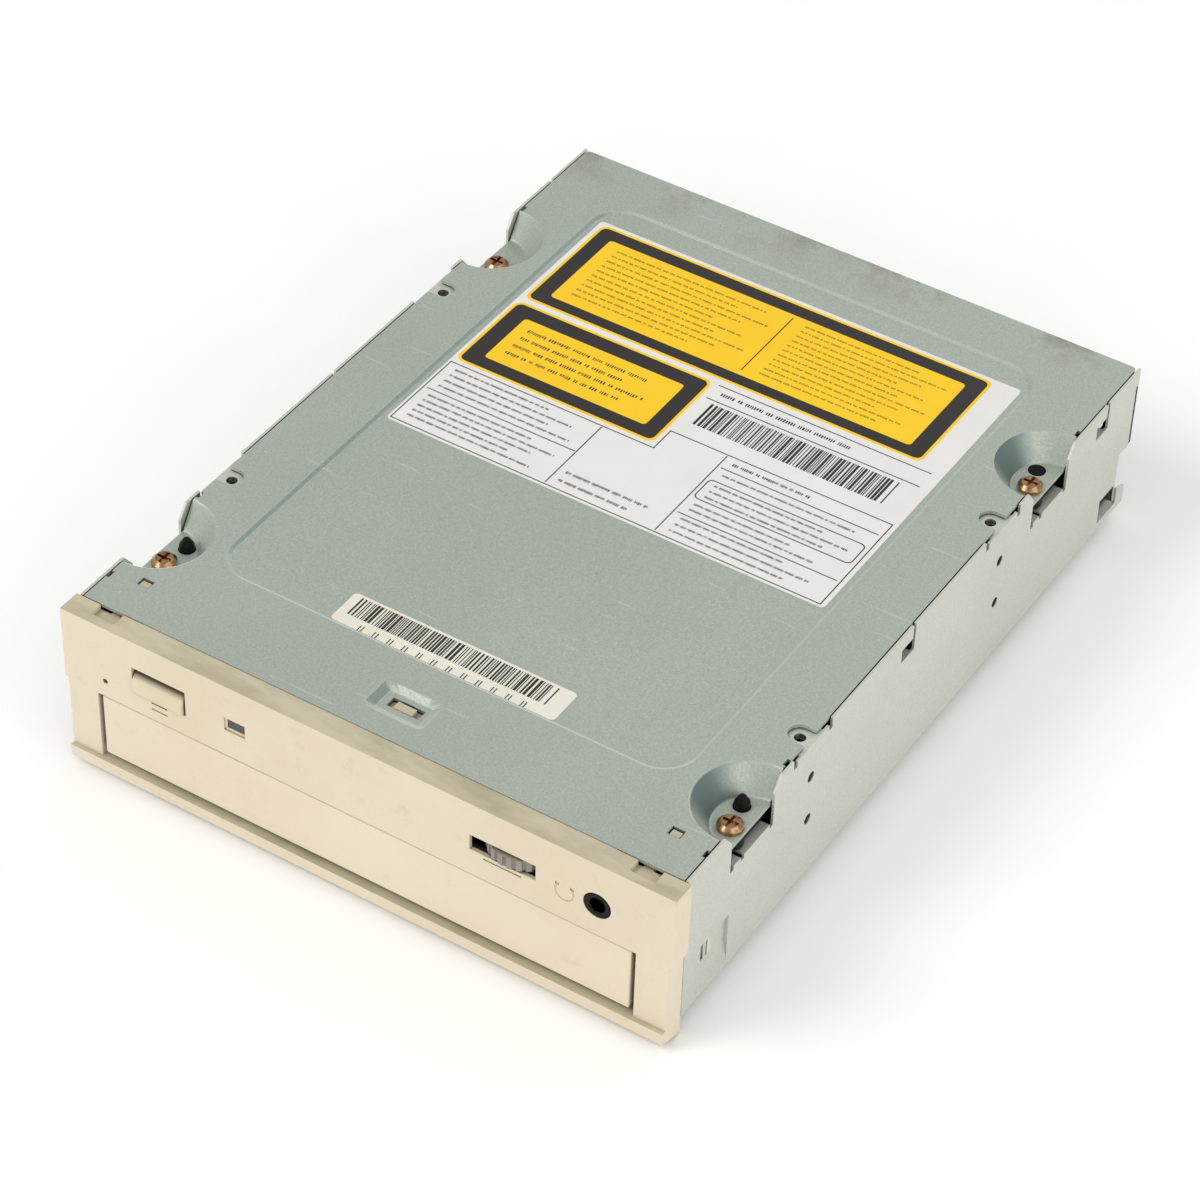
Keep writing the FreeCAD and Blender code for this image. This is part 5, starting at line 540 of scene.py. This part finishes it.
def rounded_copy(name, slot, width, pressed):
    """A piece that stands for a CAD piece: the same shape in the same place, with soft edges."""
    node = nodes[name]
    work = welded(node.data, not pressed)
    if pressed:
        round_pressed(work, pressed)
    work.verts.index_update()
    mesh = bpy.data.meshes.new(name + "_soft")
    mesh.from_pydata([v.co.copy() for v in work.verts], [],
                     [[v.index for v in f.verts] for f in work.faces])
    curved = [not lies_flat(face) for face in work.faces]
    work.free()
    mesh.polygons.foreach_set("use_smooth", curved)
    mesh.set_sharp_from_angle(angle=SHARP_ANGLE)
    thing = placed(name + "_soft", mesh, DRESS[name])
    thing.matrix_world = node.matrix_world.copy()
    edge_bevel(thing, width)
    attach(thing, body_of(node)[0])
    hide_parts(name)


for node, thing in nodes.items():
    if node in ROUNDED:
        rounded_copy(node, *ROUNDED[node])
    elif node != "eject_button":
        joined = thing.modifiers.new("joined_faces", "WELD")
        joined.merge_threshold = WELD_REACH
        edge_bevel(thing, FINE_EDGE)


# The eject button: a cushion that swells from under the slot's upper edge, with rounded ends

BUTTON_X = (-56.05, -43.2)
BUTTON_Z = (-7.68, -13.62)
BUTTON_FACE_Y = -6.55
BUTTON_BACK_Y = -3.0
BUTTON_THIN = 0.1
BUTTON_BULGE = 3.3
BUTTON_END_R = 0.9
BUTTON_END_DEEP = 0.45
BUTTON_SETBACK = ((0.0, 1.0), (0.08, 0.78), (0.18, 0.56), (0.30, 0.36), (0.44, 0.19), (0.60, 0.07),
                  (0.76, 0.01), (0.88, 0.0), (0.95, 0.03), (1.0, 0.12))
BUTTON_LIP = ((-56.8, -42.1), (-3.25, -1.75), (-14.5, -6.8))
BUTTON_STEM = ((-51.05, -47.85), (-2.65, 3.1), (-12.2, -9.0))


def setback(down):
    """How far the cushion stands back at a share of the way down, as a share of its bulge."""
    for (first, start), (second, end) in zip(BUTTON_SETBACK, BUTTON_SETBACK[1:]):
        if down <= second:
            share = (down - first) / (second - first)
            return start + (end - start) * share
    return BUTTON_SETBACK[-1][1]


def end_setback(x):
    """How far the cushion's rounded ends stand back at one place along it."""
    near = min(x - BUTTON_X[0], BUTTON_X[1] - x) / BUTTON_END_R
    if near >= 1:
        return 0.0
    return BUTTON_END_DEEP * (1 - math.sqrt(1 - (1 - near) ** 2))


def add_box(work, x, y, z):
    corners = [work.verts.new(at(a, b, c)) for c in z for b in y for a in x]
    for face in ((0, 1, 3, 2), (4, 5, 7, 6), (0, 1, 5, 4), (2, 3, 7, 6), (0, 2, 6, 4), (1, 3, 7, 5)):
        work.faces.new([corners[k] for k in face])


def button():
    work = bmesh.new()
    columns, rows = 56, 30
    grid = []
    for row in range(rows + 1):
        down = row / rows
        line = []
        for column in range(columns + 1):
            across = 0.5 - 0.5 * math.cos(math.pi * column / columns)
            x = BUTTON_X[0] + (BUTTON_X[1] - BUTTON_X[0]) * across
            y = BUTTON_FACE_Y + BUTTON_BULGE * setback(down) + end_setback(x)
            z = BUTTON_Z[0] + (BUTTON_Z[1] - BUTTON_Z[0]) * down
            line.append(work.verts.new(at(x, min(y, BUTTON_BACK_Y - BUTTON_THIN), z)))
        grid.append(line)
    for upper, lower in zip(grid, grid[1:]):
        for k in range(columns):
            work.faces.new((upper[k], upper[k + 1], lower[k + 1], lower[k]))
    right, left = [line[-1] for line in grid[1:]], [line[0] for line in grid[-2:0:-1]]
    rim = grid[0] + right + grid[-1][-2::-1] + left
    back_y = at(0, BUTTON_BACK_Y, 0).y
    back = [work.verts.new((v.co.x, back_y, v.co.z)) for v in rim]
    for k in range(len(rim)):
        following = (k + 1) % len(rim)
        work.faces.new((rim[k], rim[following], back[following], back[k]))
    work.faces.new(back)
    add_box(work, *BUTTON_LIP)
    add_box(work, *BUTTON_STEM)
    mesh = mesh_of(work, "eject_button_cushion")
    mesh.shade_smooth()
    mesh.set_sharp_from_angle(angle=math.radians(40))
    thing = placed("eject_button_cushion", mesh, "cream_button")
    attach(thing, "button")
    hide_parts("eject_button")


button()


# The bezel's rear top edge: a narrow rib that closes the seam in front of the cover

SEAM_BOX = ((-57.0, 57.0), (-0.6, 0.1), (-1.0, -0.22))


def seam():
    work = bmesh.new()
    add_box(work, *SEAM_BOX)
    thing = placed("bezel_seam", mesh_of(work, "bezel_seam"), "cream")
    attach(thing, "drive")


seam()


# Printed matter on the two labels: thin raised ink, in plain generic blocks and bars

def corner_points(x, y, radius, steps=5):
    """The outline of a rectangle with round corners."""
    points = []
    for cx, cy, begin in ((x[1] - radius, y[1] - radius, 0), (x[0] + radius, y[1] - radius, 90),
                          (x[0] + radius, y[0] + radius, 180), (x[1] - radius, y[0] + radius, 270)):
        for step in range(steps + 1):
            turn = math.radians(begin + 90 * step / steps)
            points.append((cx + radius * math.cos(turn), cy + radius * math.sin(turn)))
    return points


class Ink:
    """Thin printed shapes of one colour, gathered in one mesh that rides on the drive."""

    def __init__(self, name, look):
        self.name, self.look = name, look
        self.mesh = bmesh.new()

    def shape(self, points, level):
        """A closed sliver from just under the label's face up to its own level."""
        base = PANEL_Z + LABEL_THICK
        low = [self.mesh.verts.new(at(x, y, base - 0.02)) for x, y in points]
        high = [self.mesh.verts.new(at(x, y, base + level)) for x, y in points]
        self.mesh.faces.new(low[::-1])
        self.mesh.faces.new(high)
        for k in range(len(points)):
            following = (k + 1) % len(points)
            self.mesh.faces.new((low[k], low[following], high[following], high[k]))

    def block(self, x, y, level=0.03, radius=0.0):
        if radius:
            self.shape(corner_points(x, y, radius), level)
        else:
            self.shape([(x[0], y[0]), (x[1], y[0]), (x[1], y[1]), (x[0], y[1])], level)

    def line(self, start, end, wide=0.25, level=0.03):
        along = Vector((end[0] - start[0], end[1] - start[1])).normalized() * wide / 2
        side = Vector((-along.y, along.x))
        a, b = Vector(start) - along, Vector(end) + along
        self.shape([tuple(a - side), tuple(b - side), tuple(b + side), tuple(a + side)], level)

    def frame(self, points, wide=0.25, level=0.03):
        for k in range(len(points)):
            self.line(points[k], points[(k + 1) % len(points)], wide, level)

    def bars(self, x, y, seed, level=0.03):
        """Generic upright bars of random widths, like those of a bar code."""
        draw = random.Random(seed)
        place = x[0]
        while place < x[1] - 1.0:
            wide = draw.choice((0.22, 0.22, 0.42, 0.62))
            self.block((place, place + wide), y, level)
            place += wide + draw.choice((0.22, 0.30, 0.50))
        self.block((x[1] - 0.3, x[1]), y, level)

    def words(self, x, y, tall, seed, fill=1.0, level=0.03):
        """A row of small upright strokes in groups, like a line of print seen from afar."""
        draw = random.Random(seed)
        place, last = x[0], x[0] + (x[1] - x[0]) * fill
        while place < last:
            for _ in range(draw.randint(2, 9)):
                wide = tall * draw.uniform(0.18, 0.42)
                if place + wide > last:
                    break
                low = y - tall * draw.choice((0.5, 0.5, 0.3))
                self.block((place, place + wide), (low, y + tall / 2), level)
                place += wide + tall * 0.28
            place += tall * 0.7

    def done(self):
        thing = placed(self.name, mesh_of(self.mesh, self.name), self.look)
        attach(thing, "drive")


yellow = Ink("label_yellow_ink", "label_yellow")
black = Ink("label_black_ink", "label_black")
inner = Ink("label_inner_ink", "label_yellow")
fine = Ink("label_fine_ink", "label_black")
ABOVE_PANELS = 0.05

# The wide and the narrow yellow panel, each with a black band inside its edge
YELLOW_RIM = 0.7
YELLOW_PANELS = (
    ((-53.6, 48.3), (134.8, 168.0), (-49.0, 43.6), (138.5, 163.8)),
    ((-54.0, -2.6), (107.8, 133.2), (-49.0, -7.2), (112.0, 128.5)),
)
for outer_x, outer_y, inner_x, inner_y in YELLOW_PANELS:
    band_x = (outer_x[0] + YELLOW_RIM, outer_x[1] - YELLOW_RIM)
    band_y = (outer_y[0] + YELLOW_RIM, outer_y[1] - YELLOW_RIM)
    yellow.block(outer_x, outer_y, 0.02, 2.0)
    black.block(band_x, band_y, 0.03, 1.5)
    inner.block(inner_x, inner_y, 0.04, 0.9)
fine.line((0.1, 140.3), (0.1, 162.5), 0.3, ABOVE_PANELS)

# The ruled form below the panels: rules above its bars, its outline, and rules inside it
HEAD_RULES = (((-1.0, 132.8), (52.0, 132.8)), ((-1.0, 127.6), (52.0, 127.6)))
FORM_OUTLINE = [(-54.0, 83.3), (53.5, 83.3), (53.5, 113.5), (-1.5, 113.5), (-1.5, 106.5), (-54.0, 106.5)]
FORM_RULES = (
    ((-14.5, 84.0), (-14.5, 106.0)), ((13.0, 84.0), (13.0, 113.0)), ((-53.0, 96.0), (-15.0, 96.0)),
    ((14.0, 109.0), (52.5, 109.0)), ((14.0, 91.5), (52.5, 91.5)),
)
for start, end in HEAD_RULES:
    fine.line(start, end)
fine.bars((1.0, 48.0), (118.2, 126.4), 11)
fine.frame(FORM_OUTLINE)
for start, end in FORM_RULES:
    fine.line(start, end)
fine.frame(corner_points((14.0, 52.3), (97.5, 104.5), 1.2), 0.25)

# Rows of short strokes stand for the small print and say nothing: width, depth, rows, height
PRINT_ROWS = (
    ((-45.5, -3.0), (142.0, 161.0), 10, 0.55), ((4.0, 41.0), (141.5, 161.5), 11, 0.50),
    ((-46.0, -12.0), (116.0, 125.0), 4, 1.00), ((-51.5, -17.5), (86.0, 94.0), 5, 0.60),
    ((-51.5, -17.5), (98.0, 104.5), 4, 0.60), ((-12.5, 11.5), (86.0, 89.0), 2, 0.80),
    ((15.5, 50.5), (85.5, 90.0), 3, 0.60), ((16.0, 50.0), (98.8, 103.0), 3, 0.60),
    ((15.5, 48.0), (93.5, 95.5), 2, 0.60), ((15.5, 48.0), (106.2, 107.6), 1, 0.60),
    ((1.0, 46.0), (129.4, 131.2), 1, 1.00), ((15.5, 40.0), (110.6, 111.8), 1, 0.80),
)
for number, (across, along, rows, tall) in enumerate(PRINT_ROWS):
    for row in range(rows):
        y = along[0] + (along[1] - along[0]) * (row / (rows - 1) if rows > 1 else 0.5)
        fill = 0.72 + 0.28 * ((row * 7 + number) % 5) / 4
        fine.words(across, y, tall, 40 * number + row, fill, ABOVE_PANELS + 0.005)

# The small label's bars, with a row of paired strokes below them
fine.bars((-25.0, 23.2), (26.2, 31.8), 5)
PAIRS, PAIR_PITCH, STROKE_WIDE = 12, 3.6, 0.24
for pair in range(PAIRS):
    for start in (-20.5, -19.75):
        fine.block((start + PAIR_PITCH * pair, start + PAIR_PITCH * pair + STROKE_WIDE), (23.2, 24.8))
for ink in (yellow, black, inner, fine):
    ink.done()


# Threads cut in the collars of the mounting holes, which the CAD holes leave plain

HOLE_ROWS_Y = (47.4, 126.65)
HOLE_R = 1.25
THREAD_DEEP = 0.22
THREAD_PITCH = 0.5
THREAD_TURNS = 2
THREAD_START_Z = -1.25
EAR_HOLE_X = 69.85
SIDE_HOLE_X = 72.85
SIDE_HOLE_Z = (-10.23, -22.07)


def thread_ring(work, start, along, turns, sides=28):
    """A closed ring inside a hole, whose bore alternates between two radii like thread crests."""
    axis = Vector(along)
    across = Vector((0, 1, 0)) if abs(axis.y) < 0.5 else Vector((1, 0, 0))
    third = axis.cross(across)
    steps = [(step, HOLE_R - (THREAD_DEEP if step % 2 else 0.01)) for step in range(2 * turns + 1)]
    levels = []
    for step, radius in [(0, HOLE_R + 0.06)] + steps + [(2 * turns, HOLE_R + 0.06)]:
        centre = at(*start) + axis * (step * THREAD_PITCH / 2 * MM)
        ring = []
        for side in range(sides):
            turn = math.tau * side / sides
            outward = across * math.cos(turn) + third * math.sin(turn)
            ring.append(work.verts.new(centre + outward * radius * MM))
        levels.append(ring)
    for first, second in zip(levels, levels[1:] + levels[:1]):
        for side in range(sides):
            following = (side + 1) % sides
            work.faces.new((first[side], first[following], second[following], second[side]))


def threads():
    work = bmesh.new()
    for side in (-1, 1):
        for y in HOLE_ROWS_Y:
            thread_ring(work, (side * EAR_HOLE_X, y, THREAD_START_Z), (0, 0, -1), THREAD_TURNS)
            for z in SIDE_HOLE_Z:
                thread_ring(work, (side * SIDE_HOLE_X, y, z), (-side, 0, 0), THREAD_TURNS)
    mesh = mesh_of(work, "hole_threads")
    mesh.shade_smooth()
    mesh.set_sharp_from_angle(angle=math.radians(25))
    # The threads' dark colour is partly painted shade inside the holes
    thing = placed("hole_threads", mesh, "thread_steel_shaded")
    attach(thing, "drive")


threads()


# Floor, light and camera

FLOOR_HALF = 3.0


def floor():
    half = FLOOR_HALF
    mesh = bpy.data.meshes.new("floor")
    mesh.from_pydata([(-half, -half, 0), (half, -half, 0), (half, half, 0), (-half, half, 0)], [],
                     [(0, 1, 2, 3)])
    thing = placed("floor", mesh)
    s = Surface("floor_paper", specular=0.2)
    s.colour(s.mix(s.span(s.noise(60.0, 2.0), 0.4, 0.6, 0.0, 0.3), srgb("FEFEFE"), srgb("FBFBFB")))
    s.roughness(s.noise(20.0, 2.0), 0.8, 0.9)
    mesh.materials.append(s.material)


# Name, place, width, power in watts, and tint
LIGHTS = (
    ("key", (-0.9, -1.1, 1.5), 1.0, 14.0, (1.0, 0.99, 0.97)),
    ("side", (1.5, -0.5, 0.9), 2.2, 10.5, (1.0, 0.995, 0.985)),
    ("rear", (0.2, 1.6, 1.3), 1.0, 5.0, (0.97, 0.99, 1.0)),
)
LIT_PLACE = (0, 0, 0.02)
# Height in the room and its brightness
ROOM_STOPS = ((0.0, 1.0), (0.25, 0.95), (0.60, 0.72), (1.0, 0.82))
ROOM_STRENGTH = 0.80


def area_light(name, place, size, power, tint):
    light = bpy.data.lights.new(name, "AREA")
    light.shape = "DISK"
    light.size = size
    light.energy = power
    light.color = tint
    thing = bpy.data.objects.new(name, light)
    bpy.context.scene.collection.objects.link(thing)
    thing.location = place
    aim = Vector(LIT_PLACE) - Vector(place)
    thing.rotation_euler = aim.to_track_quat("-Z", "Y").to_euler()


def studio():
    """A bright room whose ceiling is darker than its walls, with three soft lights."""
    world = bpy.data.worlds.new("room")
    bpy.context.scene.world = world
    world.use_nodes = True
    tree = world.node_tree
    tree.nodes.clear()
    out = tree.nodes.new("ShaderNodeOutputWorld")
    back = tree.nodes.new("ShaderNodeBackground")
    place = tree.nodes.new("ShaderNodeTexCoord")
    split = tree.nodes.new("ShaderNodeSeparateXYZ")
    tree.links.new(place.outputs["Generated"], split.inputs[0])
    ramp = tree.nodes.new("ShaderNodeValToRGB")
    tree.links.new(split.outputs["Z"], ramp.inputs[0])
    ramp.color_ramp.elements.remove(ramp.color_ramp.elements[1])
    for number, (where, bright) in enumerate(ROOM_STOPS):
        element = ramp.color_ramp.elements[0] if number == 0 else ramp.color_ramp.elements.new(where)
        element.position = where
        element.color = (bright, bright, bright, 1.0)
    tree.links.new(ramp.outputs[0], back.inputs[0])
    back.inputs[1].default_value = ROOM_STRENGTH
    tree.links.new(back.outputs[0], out.inputs[0])
    for light in LIGHTS:
        area_light(*light)


SENSOR_WIDE = 36.0      # millimetres, as the lens
LENS = 119.48
SHIFT = (-0.0215, 0.0)
CAMERA_PLACE = (331.83, -462.23, 544.05)
CAMERA_TURN = (48.21955, -1.79266, 32.37515)


def camera():
    data = bpy.data.cameras.new("camera")
    data.sensor_width = SENSOR_WIDE
    data.lens = LENS
    data.shift_x, data.shift_y = SHIFT
    data.clip_start, data.clip_end = 0.05, 20.0
    thing = bpy.data.objects.new("camera", data)
    bpy.context.scene.collection.objects.link(thing)
    thing.location = at(*CAMERA_PLACE)
    thing.rotation_euler = [math.radians(a) for a in CAMERA_TURN]
    bpy.context.scene.camera = thing


floor()
studio()
camera()
bpy.context.scene.view_settings.view_transform = "Standard"
